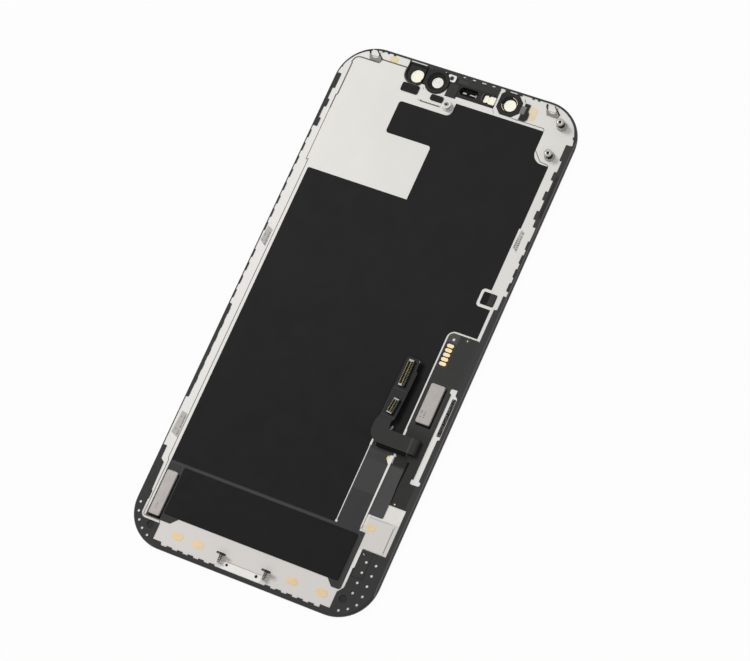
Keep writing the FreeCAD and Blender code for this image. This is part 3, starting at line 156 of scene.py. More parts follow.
# Mottle: strength, scale. Grain: strength, scale. Streak: stretch, scale, spread.
# Zones: low x, high x, low y, high y, soft edge, colour
palette = {
    "coverGlass": {"color": (255, 255, 255), "rough": 0.02, "clear": 1.0, "specular": 0.5,
        "mottle": (0.0, 60), "grain": (0.01, 4000)},
    # Opaque grey painted on the glass's side faces
    "glassEdgeGrey": {"color": (66, 66, 66), "rough": 0.3, "specular": 0.3, "mottle": (0.1, 900)},
    "borderInk": {"color": (24, 24, 25), "rough": 0.3, "specular": 0.3},
    "clearAdhesive": {"color": (225, 228, 226), "rough": 0.1, "clear": 0.9, "specular": 0.4},
    "polarizer": {"color": (22, 22, 26), "rough": 0.2, "specular": 0.4},
    "panelFilm": {"color": (20, 20, 23), "rough": 0.25, "specular": 0.4},
    "cushionFoam": {"color": (34, 34, 34), "rough": 0.85, "grain": (0.5, 5000)},
    "plateSteel": {"color": (233, 231, 226), "rough": 0.42, "metal": 0.1,
        "mottle": (0.02, 90), "grain": (0.12, 7000), "streak": ((1, 30, 1), 1200, 0.05), "zones": [
            (-40, 40, -80, -62.6, 0.6, (222, 218, 214)), (24, 33, -54, -45.2, 0.2, (220, 216, 211)),
            (31.9, 34, -44, 6, 0.3, (238, 236, 232)), (16, 24.6, -48, 6, 0.3, (240, 238, 234)),
            (-34, -31.4, -80, 60, 0.3, (236, 233, 229))]},
    "darkSteel": {"color": (112, 110, 106), "rough": 0.4, "metal": 0.3, "mottle": (0.08, 700)},
    "brightSteel": {"color": (226, 224, 220), "rough": 0.35, "metal": 0.2, "specular": 0.3,
        "mottle": (0.03, 500)},
    "shieldSteel": {"color": (178, 172, 168), "rough": 0.45, "metal": 0.2,
        "mottle": (0.05, 500), "streak": ((40, 1, 1), 900, 0.06)},
    # Graphite: the zone at x 20.6 to 21.9 is painted shadow of the connector tail; the wide soft zone makes
    # it darker towards the bottom
    "graphite": {"color": (33, 33, 33), "rough": 0.55, "specular": 0.08, "mottle": (0.05, 60),
        "grain": (0.1, 12000), "zones": [
            (-40, 40, -90, -15, 50, (30, 28, 28)), (20.6, 21.9, -20.6, -4.4, 1.0, (20, 20, 20))]},
    # Frame: the dark zone at x 33.15 to 33.95 is painted shade of a recess, and the light band at x 34.1 to
    # 34.3 a painted highlight on the chamfer
    "framePlastic": {"color": (51, 51, 51), "specular": 0.15, "mottle": (0.07, 250),
        "grain": (0.3, 6000), "zones": [
            (31, 34.2, -53, 20, 0.4, (59, 59, 60)), (31, 34.2, 36, 66, 0.4, (60, 59, 58)),
            (33.15, 33.95, 41.3, 53.2, 0.3, (38, 38, 38)), (34.10, 34.30, -64, 64, 0.1, (112, 112, 112))]},
    "sensorPlastic": {"color": (38, 38, 36), "rough": 0.42, "specular": 0.12, "mottle": (0.1, 600)},
    # Painted shade on the dark side of the camera's cone
    "coneShade": {"color": (25, 25, 25)},
    # Flex: the light zone at x 27 to 27.5 is a painted highlight along the fold
    "flexFilm": {"color": (62, 62, 62), "rough": 0.42, "specular": 0.15, "mottle": (0.04, 150),
        "grain": (0.12, 8000), "zones": [
            (-30.4, 26, -66, -40, 0.2, (51, 51, 51)), (-30.4, -9, -66, -49, 8, (46, 46, 46)),
            (14, 22.5, -21.3, -3, 0.6, (34, 33, 33)), (14, 30, -29, -20.6, 1.2, (42, 43, 41)),
            (27.0, 27.5, -28.4, -21.8, 0.3, (70, 70, 68))]},
    # Touch strip: lighter than the board's film as a painted sheen, with painted shadow of the folded
    # ribbon at y -31.4 to -28
    "stripFilm": {"color": (74, 74, 74), "rough": 0.45, "specular": 0.15, "mottle": (0.05, 180),
        "zones": [(24, 30, -31.4, -28, 0.8, (26, 26, 26))]},
    # Board: the zone at x 28.9 to 31.4 and the soft one at x 24 to 33, y -42 to -20.5 are painted shadow of
    # the folded ribbon
    "boardFilm": {"color": (54, 54, 53), "rough": 0.48, "specular": 0.14, "mottle": (0.05, 180),
        "zones": [
            (24.4, 27.3, 3.1, 5.8, 0.2, (80, 81, 79)), (28.9, 31.4, -29.6, -25.6, 1.0, (24, 24, 24)),
            (24.7, 27.1, -3.4, 3.1, 0.3, (40, 40, 39)), (32.0, 34, -42, 6, 0.5, (60, 60, 60)),
            (24, 33, -42, -20.5, 3, (42, 42, 41))]},
    "tapeBlack": {"color": (25, 24, 24), "specular": 0.08, "mottle": (0.06, 120)},
    "patchBlack": {"color": (58, 58, 57), "specular": 0.1, "mottle": (0.06, 300)},
    "pinBlack": {"color": (12, 12, 12), "rough": 0.6, "specular": 0.06},
    "creamPad": {"color": (255, 238, 190), "rough": 0.6, "specular": 0.15},
    "goldPad": {"color": (224, 199, 158), "rough": 0.4, "metal": 0.2, "mottle": (0.04, 500)},
    "contactGold": {"color": (236, 213, 170), "rough": 0.35, "metal": 0.3, "specular": 0.3},
    "pinGold": {"color": (158, 149, 100), "rough": 0.35, "metal": 0.5, "specular": 0.4,
        "mottle": (0.25, 1800)},
    "pinGrey": {"color": (122, 119, 102), "rough": 0.35, "metal": 0.5, "specular": 0.4,
        "mottle": (0.3, 1800)},
    "capSilver": {"color": (168, 166, 158), "rough": 0.4, "metal": 0.3, "mottle": (0.2, 1500)},
    "copperDot": {"color": (198, 178, 118), "rough": 0.4, "metal": 0.5},
    "meshSteel": {"color": (40, 40, 40), "rough": 0.4, "metal": 0.6},
    "postSteel": {"color": (176, 173, 168), "rough": 0.32, "metal": 0.5, "specular": 0.3,
        "mottle": (0.05, 900)},
    "collarSteel": {"color": (186, 183, 177), "metal": 0.1, "mottle": (0.04, 900)},
    # Black steel: painted shade on the posts' sleeves, painted dark reflection on the brackets' blades
    "shadeReflectionBlack": {"color": (24, 24, 23), "rough": 0.3, "metal": 0.3, "specular": 0.3,
        "mottle": (0.1, 900)},
    "foamBlack": {"color": (48, 48, 48), "rough": 0.85, "specular": 0.06, "mottle": (0.12, 1500),
        "grain": (0.6, 5000)},
    "labelFilm": {"color": (52, 50, 48), "mottle": (0.12, 900)},
    "tanAdhesive": {"color": (255, 238, 202), "rough": 0.6, "mottle": (0.04, 500)},
    "markGrey": {"color": (200, 197, 192), "metal": 0.2},
    "printGrey": {"color": (122, 118, 112)},
    "shadeGrey": {"color": (158, 155, 149), "rough": 0.6, "specular": 0.1},
    "etchGrey": {"color": (206, 202, 196), "rough": 0.55, "specular": 0.1, "mottle": (0.05, 2500)},
    "flexLight": {"color": (68, 68, 68), "specular": 0.12},
    "tabPale": {"color": (196, 198, 188)},
    "seamDark": {"color": (122, 118, 112), "rough": 0.6, "specular": 0.1},
    "lineGrey": {"color": (84, 84, 83), "specular": 0.1},
    "connectorBlack": {"color": (20, 20, 20), "rough": 0.4, "specular": 0.15},
}
# A thin clear window: what lies behind it shows through, under a soft reflection
lenses = {"lensCream": (255, 254, 246), "lensGrey": (249, 248, 245)}
lensLook = {"mottle": (700, 0.985, 1.0), "rough": 0.08, "ior": 1.35}


def makeLens(name, color):
    material, tree = newMaterial(name, bare=True)
    place = addNode(tree, "ShaderNodeTexCoord").outputs["Object"]
    mottle = noiseShare(tree, place, *lensLook["mottle"])
    shade = mixColor(tree, 1.0, tone(*color), mottle, "MULTIPLY")
    clear = output(tree, "ShaderNodeBsdfTransparent", [(0, shade)])
    gloss = output(tree, "ShaderNodeBsdfGlossy", [("Roughness", lensLook["rough"])])
    weight = output(tree, "ShaderNodeFresnel", [("IOR", lensLook["ior"])])
    mix = output(tree, "ShaderNodeMixShader", [(0, weight), (1, clear), (2, gloss)])
    tree.links.new(mix, tree.nodes["Material Output"].inputs[0])
    return material


materials = {name: makeMaterial(name, own) for name, own in palette.items()}
materials.update({name: makeLens(name, color) for name, color in lenses.items()})
print("materials", len(materials))


# Camera at the angle of the photo, found from the corners of the glass
cameraSpec = {"place": (0.272255, -0.172078, 0.688815), "right": (0.88257, 0.40335, -0.24163),
              "up": (-0.31142, 0.88648, 0.34231), "back": (0.35227, -0.22686, 0.90799),
              "lens": 143.99, "sensor": 36, "reach": 20}
lamps = {"keyLamp": {"turn": 158, "rise": 50, "distance": 1.5, "size": 0.6, "power": 8.0},
         "fillLamp": {"turn": -40, "rise": 60, "distance": 1.8, "size": 1.8, "power": 3.4}}
studio = {"worldGrey": 0.4, "floorHalf": 1.5, "floorLevel": -0.0001, "floorGrey": 0.9, "floorGlow": 0.95}


def box(lowX, highX, lowY, highY):
    return [(lowX, lowY), (highX, lowY), (highX, highY), (lowX, highY)]


def addHolder(name, data):
    holder = bpy.data.objects.new(name, data)
    bpy.context.scene.collection.objects.link(holder)
    return holder


def addCamera(spec):
    camera = bpy.data.cameras.new("photoCamera")
    camera.lens = spec["lens"]
    camera.sensor_width = spec["sensor"]
    camera.clip_end = spec["reach"]
    holder = addHolder("photoCamera", camera)
    columns = Matrix((spec["right"], spec["up"], spec["back"])).transposed()
    holder.matrix_world = Matrix.Translation(spec["place"]) @ columns.to_4x4()
    bpy.context.scene.camera = holder


def addLamp(name, spec):
    # Turn and rise give the direction in degrees, as seen from the part
    lamp = bpy.data.lights.new(name, "AREA")
    lamp.shape = "DISK"
    lamp.size = spec["size"]
    lamp.energy = spec["power"]
    holder = addHolder(name, lamp)
    turn, rise = math.radians(spec["turn"]), math.radians(spec["rise"])
    flat = math.cos(rise)
    direction = Vector((flat * math.cos(turn), flat * math.sin(turn), math.sin(rise)))
    holder.location = direction * spec["distance"]
    holder.rotation_euler = direction.to_track_quat("Z", "Y").to_euler()


def seenRay(tree):
    path = addNode(tree, "ShaderNodeLightPath").outputs
    seen = math2(tree, "MAXIMUM", path["Is Camera Ray"], path["Is Glossy Ray"])
    return math2(tree, "MAXIMUM", seen, path["Is Transmission Ray"])


def addWorld(grey):
    # White where it is seen, grey as a light
    world = bpy.data.worlds.new("studio")
    world.use_nodes = True
    tree = world.node_tree
    soft = tree.nodes["Background"]
    soft.inputs[0].default_value = (grey, grey, grey, 1)
    white = output(tree, "ShaderNodeBackground", [(0, (1, 1, 1, 1))])
    mix = output(tree, "ShaderNodeMixShader", [(0, seenRay(tree)), (1, soft.outputs[0]), (2, white)])
    tree.links.new(mix, tree.nodes["World Output"].inputs[0])
    bpy.context.scene.world = world


def addFloor(spec):
    # White floor that is clear from below
    half, level, grey = spec["floorHalf"], spec["floorLevel"], spec["floorGrey"]
    mesh = bpy.data.meshes.new("floor")
    mesh.from_pydata([(x, y, level) for x, y in box(-half, half, -half, half)], [], [(0, 1, 2, 3)])
    material, tree = newMaterial("floorWhite", bare=True)
    diffuse = output(tree, "ShaderNodeBsdfDiffuse", [(0, (grey, grey, grey, 1))])
    glow = output(tree, "ShaderNodeEmission", [(0, (1, 1, 1, 1))])
    factor = math2(tree, "MULTIPLY", seenRay(tree), spec["floorGlow"])
    upper = output(tree, "ShaderNodeMixShader", [(0, factor), (1, diffuse), (2, glow)])
    back = addNode(tree, "ShaderNodeNewGeometry").outputs["Backfacing"]
    clear = output(tree, "ShaderNodeBsdfTransparent")
    mix = output(tree, "ShaderNodeMixShader", [(0, back), (1, upper), (2, clear)])
    tree.links.new(mix, tree.nodes["Material Output"].inputs[0])
    mesh.materials.append(material)
    floor = addHolder("floor", mesh)


addCamera(cameraSpec)
for name, spec in lamps.items():
    addLamp(name, spec)
addWorld(studio["worldGrey"])
addFloor(studio)
bpy.context.scene.view_settings.view_transform = "Standard"
print("camera, lamps and floor")


# Meshes
def addPiece(name, mesh, look):
    # The look is a material of the palette and the name of a slot; the slot's name is not used
    material, slotName = look
    mesh.materials.clear()
    mesh.materials.append(materials[material])
    piece = addHolder(name, mesh)
    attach(piece, "root")
    return piece


def writeMesh(name, shape, scale=mm):
    for vertex in shape.verts:
        vertex.co *= scale
    bmesh.ops.remove_doubles(shape, verts=shape.verts, dist=joinGap)
    bmesh.ops.recalc_face_normals(shape, faces=shape.faces)
    mesh = bpy.data.meshes.new(name)
    shape.to_mesh(mesh)
    shape.free()
    return mesh


def smooth(mesh, kind):
    mesh.shade_smooth()
    mesh.set_sharp_from_angle(angle=math.radians(smoothAngles[kind]))


def extrude(shape, corners, low, high):
    ring = [shape.verts.new((x, y, low)) for x, y in corners]
    upper = [shape.verts.new((x, y, high)) for x, y in corners]
    shape.faces.new(list(reversed(ring)))
    shape.faces.new(upper)
    for index in range(len(corners)):
        after = (index + 1) % len(corners)
        shape.faces.new((ring[index], ring[after], upper[after], upper[index]))


def skin(shape, rings, closed):
    # Faces from each section to the next, and from the last to the first where it is closed
    for index in range(len(rings) if closed else len(rings) - 1):
        ring = rings[index]
        following = rings[(index + 1) % len(rings)]
        for step in range(len(ring)):
            after = (step + 1) % len(ring)
            shape.faces.new((ring[step], following[step], following[after], ring[after]))


def disc(x, y, radius, sides=32):
    angles = [2 * math.pi * index / sides for index in range(sides)]
    return [(x + radius * math.cos(angle), y + radius * math.sin(angle)) for angle in angles]


def strip(points, width):
    # Outline of a line of even width through the points
    lefts, rights = [], []
    for index, point in enumerate(points):
        before, after = points[max(index - 1, 0)], points[min(index + 1, len(points) - 1)]
        along = Vector((after[0] - before[0], after[1] - before[1])).normalized()
        across = Vector((-along.y, along.x)) * width / 2
        lefts.append((point[0] + across.x, point[1] + across.y))
        rights.append((point[0] - across.x, point[1] - across.y))
    return lefts + rights[::-1]


def flatPiece(name, spec):
    # Outlines in x and y between two levels; an upright one has its outlines in x and z
    shape = bmesh.new()
    for corners in spec["outlines"]:
        extrude(shape, corners, *spec["levels"])
    if spec.get("upright"):
        for vertex in shape.verts:
            vertex.co = (vertex.co.x, vertex.co.z, vertex.co.y)
    addPiece(name, writeMesh(name, shape), spec["look"])


def lathe(shape, x, y, profile, sides, arc):
    # Closed section (radius, height) turned about an upright axis, all round or over an arc in degrees
    start, end = arc or (0, 360)
    rings = []
    for index in range(sides if arc is None else sides + 1):
        angle = math.radians(start + (end - start) * index / sides)
        rings.append([shape.verts.new((x + radius * math.cos(angle), y + radius * math.sin(angle), z))
                      for radius, z in profile])
    skin(shape, rings, arc is None)
    if arc is not None:
        shape.faces.new(rings[0])
        shape.faces.new(list(reversed(rings[-1])))


def lathePiece(name, spec):
    shape = bmesh.new()
    for x, y, profile in spec["turned"]:
        lathe(shape, x, y, profile, spec.get("sides", 32), spec.get("arc"))
    mesh = writeMesh(name, shape)
    smooth(mesh, "turned")
    addPiece(name, mesh, spec["look"])


# A finished copy stands for a CAD node: welded, cleaned, with its edges eased
finish = {"flatAngle": 0.6, "sharpAngle": 38, "segments": 1, "profile": 0.6}


def weldedCopy(node):
    shape = bmesh.new()
    shape.from_mesh(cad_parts[node].data)
    bmesh.ops.remove_doubles(shape, verts=shape.verts, dist=weldGap)
    return shape


def weighted(name, mesh):
    # Large flat faces keep their own normals where rounded edges meet them
    holder = addHolder(name + "Holder", mesh)
    holder.modifiers.new("weigh", "WEIGHTED_NORMAL").keep_sharp = True
    graph = bpy.context.evaluated_depsgraph_get()
    result = bpy.data.meshes.new_from_object(holder.evaluated_get(graph), preserve_all_data_layers=True,
                                             depsgraph=graph)
    holder.modifiers.clear()
    bpy.data.objects.remove(holder)
    return result


def paint(mesh, material, test):
    # A second material on the faces that pass the test of centre (mm) and normal
    mesh.materials.append(materials[material])
    for face in mesh.polygons:
        if test(face.center / mm, face.normal):
            face.material_index = 1


def finishedCopy(node, spec):
    # The piece has the node's name in camel case
    first, *others = node.split("_")
    name = first + "".join(word.capitalize() for word in others)
    shape = weldedCopy(node)
    bmesh.ops.dissolve_limit(shape, angle_limit=math.radians(finish["flatAngle"]), verts=shape.verts,
                             edges=shape.edges)
    bmesh.ops.recalc_face_normals(shape, faces=shape.faces)
    limit = math.radians(finish["sharpAngle"])
    sharp = [edge for edge in shape.edges if len(edge.link_faces) == 2 and edge.calc_face_angle(0) > limit]
    bmesh.ops.bevel(shape, geom=sharp, offset=spec["ease"] * mm, segments=finish["segments"],
                    profile=finish["profile"], affect="EDGES", clamp_overlap=True)
    for vertex in shape.verts:
        # Thin sheet parts lie closer to the plate than the built block
        rise = vertex.co.z - plateTop * mm
        vertex.co.z = min(vertex.co.z, plateTop * mm + rise * spec.get("press", 1.0))
    mesh = writeMesh(name, shape, 1.0)
    if spec.get("round"):
        smooth(mesh, "finished")
        mesh = weighted(name, mesh)
    piece = addPiece(name, mesh, spec["look"])
    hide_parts(node)
    if "paint" in spec:
        paint(mesh, *spec["paint"])


barrelStart = -67.8
can = {"look": ("shieldSteel", "shield_steel"), "ease": 0.02}
# Brackets: blades in black steel as a painted dark reflection, the barrels painted bright steel
bracket = {"look": ("shadeReflectionBlack", "post_steel"), "ease": 0.03, "round": True,
           "paint": ("brightSteel", lambda centre, normal: centre.y < barrelStart)}
clip = {"look": ("plateSteel", "plate_steel"), "ease": 0.04, "press": 0.3,
        "paint": ("shadeGrey", lambda centre, normal: normal.z < 0.6)}
ring = {"look": ("sensorPlastic", "sensor_plastic"), "ease": 0.04, "round": True}
connector = {"look": ("connectorBlack", "connector_plastic"), "ease": 0.03}
finished = {
    "bezel_frame": {"look": ("framePlastic", "frame_plastic"), "ease": 0.02},
    "cover_glass": {"look": ("coverGlass", "cover_glass"), "ease": 0.04,
        "paint": ("glassEdgeGrey", lambda centre, normal: abs(normal.z) < 0.9)},
    "graphite_sheet": {"look": ("graphite", "graphite"), "ease": 0.015},
    "main_flex": {"look": ("flexFilm", "flex_film"), "ease": 0.02, "round": True},
    "side_board": {"look": ("boardFilm", "board_film"), "ease": 0.03},
    "driver_pad": {"look": ("tapeBlack", "tape_black"), "ease": 0.05},
    "driver_shield": can, "board_shield": can,
    # The posts' side walls above 1.9 are painted darker steel, as painted shade
    "screw_posts": {"look": ("postSteel", "post_steel"), "ease": 0.03, "round": True,
        "paint": ("darkSteel", lambda centre, normal: abs(normal.z) < 0.5 and centre.z > 1.9)},
    "left_screw_bracket": bracket, "right_screw_bracket": bracket,
    "left_latch_clip": clip, "right_latch_clip": clip,
    "camera_ring": ring, "infrared_ring": ring,
    "projector_carrier": {"look": ("sensorPlastic", "sensor_plastic"), "ease": 0.03},
    "large_connector": connector, "small_connector": connector,
    "ground_plate": {"look": ("plateSteel", "plate_steel"), "ease": 0.02},
    "cable_block": {"look": ("sensorPlastic", "connector_plastic"), "ease": 0.03},
    "foam_pads": {"look": ("foamBlack", "foam_black"), "ease": 0.06},
}
for node, spec in finished.items():
    finishedCopy(node, spec)
print("finished copies", len(finished))

# CAD nodes shown as they are, with their material
carried = {
    "borderInk": ["border_mask"], "clearAdhesive": ["optical_adhesive"], "polarizer": ["polarizer_film"],
    "panelFilm": ["display_panel"], "cushionFoam": ["panel_cushion"],
    "patchBlack": ["sensor_film", "sensor_patch"],
    "plateSteel": ["back_plate", "stiffener_frame"], "sensorPlastic": ["notch_filler", "earpiece_frame"],
    "lensCream": ["projector_window", "infrared_window", "flood_windows"], "lensGrey": ["camera_window"],
    "meshSteel": ["earpiece_mesh"], "brightSteel": ["microphone_tab"], "darkSteel": ["cable_pad"],
    "tanAdhesive": ["tan_pad"], "creamPad": ["top_pad"], "contactGold": ["board_contacts"],
    "tapeBlack": ["square_pad", "large_stiffener", "small_stiffener"], "lineGrey": ["contact_frame"],
    "stripFilm": ["touch_strip"], "labelFilm": ["slot_insert"], "goldPad": ["ground_pad", "lower_pads"],
}
for material, nodes in carried.items():
    for node in nodes:
        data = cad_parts[node].data
        data.materials.clear()
        data.materials.append(materials[material])
print("carried nodes", sum(len(nodes) for nodes in carried.values()))


# Geometry trees for what repeats, with points or sides of their curves
fineness = {"arch": 6, "ring": 28, "ringWire": 6, "wave": 60, "wire": 5}


def startTree(name, inputs):
    tree = bpy.data.node_groups.new(name, "GeometryNodeTree")
    shared = {"Place": "Vector", "Turn": "Rotation", "Material": "Material"}
    for label, kind in {**inputs, **shared}.items():
        tree.interface.new_socket(name=label, in_out="INPUT", socket_type="NodeSocket" + kind)
    tree.interface.new_socket(name="Geometry", in_out="OUTPUT", socket_type="NodeSocketGeometry")
    return tree, tree.nodes.new("NodeGroupInput").outputs


def endTree(tree, entry, geometry):
    moved = output(tree, "GeometryNodeTransform",
                   [("Geometry", geometry), ("Translation", entry["Place"]), ("Rotation", entry["Turn"])])
    real = output(tree, "GeometryNodeRealizeInstances", [(0, moved)])
    dressed = output(tree, "GeometryNodeSetMaterial", [("Geometry", real), ("Material", entry["Material"])])
    tree.links.new(dressed, tree.nodes.new("NodeGroupOutput").inputs[0])
    return tree


def alongAxis(tree, axis, value):
    # Vector with a value on one axis and nothing on the others
    return output(tree, "ShaderNodeCombineXYZ", [(axis, value)])


def circle(tree, sides, radius):
    return output(tree, "GeometryNodeCurvePrimitiveCircle", [("Resolution", sides), ("Radius", radius)])


def sweep(tree, curve, section, caps=True):
    return output(tree, "GeometryNodeCurveToMesh",
                  [("Curve", curve), ("Profile Curve", section), ("Fill Caps", caps)])


def rowsTree():
    # Rows of small arched bars with varied length, some left out
    measures = ("Run X", "Run Y", "Length", "Width", "Thickness", "Arch", "Vary", "Keep")
    tree, entry = startTree("archRows", {"Columns": "Int", "Rows": "Int",
                                         **dict.fromkeys(measures, "Float"), "Seed": "Int"})
    start, end = (alongAxis(tree, 0, math2(tree, "MULTIPLY", entry["Length"], share))
                  for share in (-0.5, 0.5))
    middle = alongAxis(tree, 2, entry["Arch"])
    line = output(tree, "GeometryNodeCurveQuadraticBezier",
                  [(0, fineness["arch"]), (1, start), (2, middle), (3, end)])
    section = output(tree, "GeometryNodeCurvePrimitiveQuadrilateral",
                     [(0, entry["Width"]), (1, entry["Thickness"])])
    points = output(tree, "GeometryNodeMeshGrid",
                    [(0, entry["Run X"]), (1, entry["Run Y"]), (2, entry["Columns"]), (3, entry["Rows"])])
    # Output 3 of a random value is the yes or no, and output 1 the number
    kept = addNode(tree, "FunctionNodeRandomValue", [(6, entry["Keep"]), (8, entry["Seed"])],
                   data_type="BOOLEAN").outputs[3]
    low = math2(tree, "SUBTRACT", 1.0, entry["Vary"])
    varied = addNode(tree, "FunctionNodeRandomValue", [(2, low), (3, 1.0), (8, entry["Seed"])],
                     data_type="FLOAT").outputs[1]
    size = output(tree, "ShaderNodeCombineXYZ", [(0, varied), (1, 1.0), (2, 1.0)])
    spread = output(tree, "GeometryNodeInstanceOnPoints",
                    [("Points", points), ("Selection", kept), ("Instance", sweep(tree, line, section)),
                     ("Scale", size)])
    return endTree(tree, entry, spread)


def ringsTree():
    # A stack of thin rings, as the crests of a thread
    tree, entry = startTree("ringStack", {"Count": "Int", "Step": "Vector", "Radius": "Float",
                                          "Wire": "Float"})
    ring = circle(tree, fineness["ring"], entry["Radius"])
    body = sweep(tree, ring, circle(tree, fineness["ringWire"], entry["Wire"]), False)
    line = output(tree, "GeometryNodeMeshLine", [("Count", entry["Count"]), ("Offset", entry["Step"])])
    spread = output(tree, "GeometryNodeInstanceOnPoints", [("Points", line), ("Instance", body)])
    return endTree(tree, entry, spread)


def wireTree():
    # One wavy wire
    tree, entry = startTree("wavyWire", dict.fromkeys(("Length", "Bends", "Wave", "Wire"), "Float"))
    line = output(tree, "GeometryNodeCurvePrimitiveLine", [(1, alongAxis(tree, 0, entry["Length"]))])
    fine = output(tree, "GeometryNodeResampleCurve", [("Curve", line), ("Count", fineness["wave"])])
    reached = output(tree, "ShaderNodeSeparateXYZ", [(0, output(tree, "GeometryNodeInputPosition"))])
    turns = math2(tree, "MULTIPLY", math2(tree, "DIVIDE", reached, entry["Length"]), entry["Bends"])
    bend = math2(tree, "SINE", math2(tree, "MULTIPLY", turns, math.pi), 0.0)
    lift = alongAxis(tree, 2, math2(tree, "MULTIPLY", bend, entry["Wave"]))
    wavy = output(tree, "GeometryNodeSetPosition", [("Geometry", fine), ("Offset", lift)])
    return endTree(tree, entry, sweep(tree, wavy, circle(tree, fineness["wire"], entry["Wire"])))


trees = {"archRows": rowsTree(), "ringStack": ringsTree(), "wavyWire": wireTree()}
lengths = {"Run X", "Run Y", "Length", "Width", "Thickness", "Arch", "Radius", "Wire", "Wave", "Step",
           "Place"}


def grownMesh(treeName, values, material):
    # Evaluates a tree with its named inputs, given in millimetres and degrees
    tree = trees[treeName]
    holder = addHolder("holder", bpy.data.meshes.new("holder"))
    modifier = holder.modifiers.new("grow", "NODES")
    modifier.node_group = tree
    given = {"Turn": (0, 0, 0), **values, "Material": materials[material]}
    for item in tree.interface.items_tree:
        if item.in_out == "OUTPUT":
            continue
        value = given[item.name]
        if item.name == "Turn":
            value = [math.radians(part) for part in value]
        elif item.name in lengths:
            value = [part * mm for part in value] if isinstance(value, tuple) else value * mm
        modifier[item.identifier] = value
    mesh = bpy.data.meshes.new_from_object(holder.evaluated_get(bpy.context.evaluated_depsgraph_get()))
    holder.modifiers.clear()
    bpy.data.objects.remove(holder)
    return mesh


def grow(name, spec):
    shape = bmesh.new()
    for values in spec["grown"]:
        mesh = grownMesh(spec["tree"], values, spec["look"][0])
        shape.from_mesh(mesh)
        bpy.data.meshes.remove(mesh)
    mesh = writeMesh(name, shape, 1.0)
    if spec.get("round"):
        smooth(mesh, "grown")
    piece = addPiece(name, mesh, spec["look"])
    if "replaces" in spec:
        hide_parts(*spec["replaces"])


# Dark strip that fills the gap round the inner plate: inner reach, outer reach and top,
# the wide one at the upper left of the split
gapSpec = {"node": "back_plate", "wide": (-0.1, 0.27, 1.485), "narrow": (0.01, 0.19, 1.46), "low": 1.29,
           "split": (5, 47), "look": ("seamDark", "cushion_foam")}


def rimLoop(plate):
    # Places round the plate's upper face in order, each with its outward direction
    crown = max(vertex.co.z for vertex in plate.verts)
    after, normals = {}, {}
    for edge in plate.edges:
        sides = [face for face in edge.link_faces if abs(face.normal.z) < 0.5]
        if len(sides) != 1 or min(vertex.co.z for vertex in edge.verts) < crown - levelGap:
            continue
        for vertex in edge.verts:
            after.setdefault(vertex.index, []).append(edge.other_vert(vertex).index)
            normals.setdefault(vertex.index, []).append(sides[0].normal.copy())
    loop, before = [min(after)], None
    while len(loop) <= len(after):
        following = next(index for index in after[loop[-1]] if index != before)
        before = loop[-1]
        if following == loop[0]:
            break
        loop.append(following)
    plate.verts.ensure_lookup_table()
    rim = []
    for index in loop:
        first, second = normals[index][:2]
        rim.append((plate.verts[index].co / mm, (first + second) / (1 + first.dot(second))))
    return rim


def gapStrip(name, spec):
    plate = weldedCopy(spec["node"])
    bmesh.ops.recalc_face_normals(plate, faces=plate.faces)
    shape = bmesh.new()
    rings = []
    for spot, outward in rimLoop(plate):
        upperLeft = spot.x < spec["split"][0] and spot.y > spec["split"][1]
        inner, outer, high = spec["wide"] if upperLeft else spec["narrow"]
        ring = []
        for reach, level in ((inner, spec["low"]), (outer, spec["low"]), (outer, high), (inner, high)):
            place = spot + outward * reach
            ring.append(shape.verts.new((place.x, place.y, level)))
        rings.append(ring)
    skin(shape, rings, True)
    plate.free()
    addPiece(name, writeMesh(name, shape), spec["look"])


gapStrip("plateGap", gapSpec)


# Thin flat things: seams, films, painted shadows along the cans and the fold, painted highlights, light
# bits
cornerCentre = (23.85, 61.45)


def cornerSpot(radius, degrees):
    # Place on an arc at the upper right corner
    angle = math.radians(degrees)
    return (cornerCentre[0] + radius * math.cos(angle), cornerCentre[1] + radius * math.sin(angle))


clipXs = (-26.3, 24.9)
slits = []
for x, rise in zip(clipXs, (70.45, 70.95)):
    slits.append(strip([(x - 1.83, rise), (x - 1.8, 70.4), (x - 1.65, 70.1), (x - 1.28, 69.65)], 0.3))
    slits.append(strip([(x + 0.3, 70.95), (x + 0.75, 70.5), (x + 1.5, 69.8), (x + 2.3, 69.1)], 0.28))
# Inner side of the film at the corner: radius and angle
rimInner = ((10.1, 36), (9.95, 30), (9.86, 24), (9.84, 16), (9.86, 8), (9.95, 2), (10.1, -4))
rimOutline = [cornerSpot(10.25, angle) for angle in range(-4, 37, 4)]
rimOutline += [cornerSpot(radius, angle) for radius, angle in rimInner]
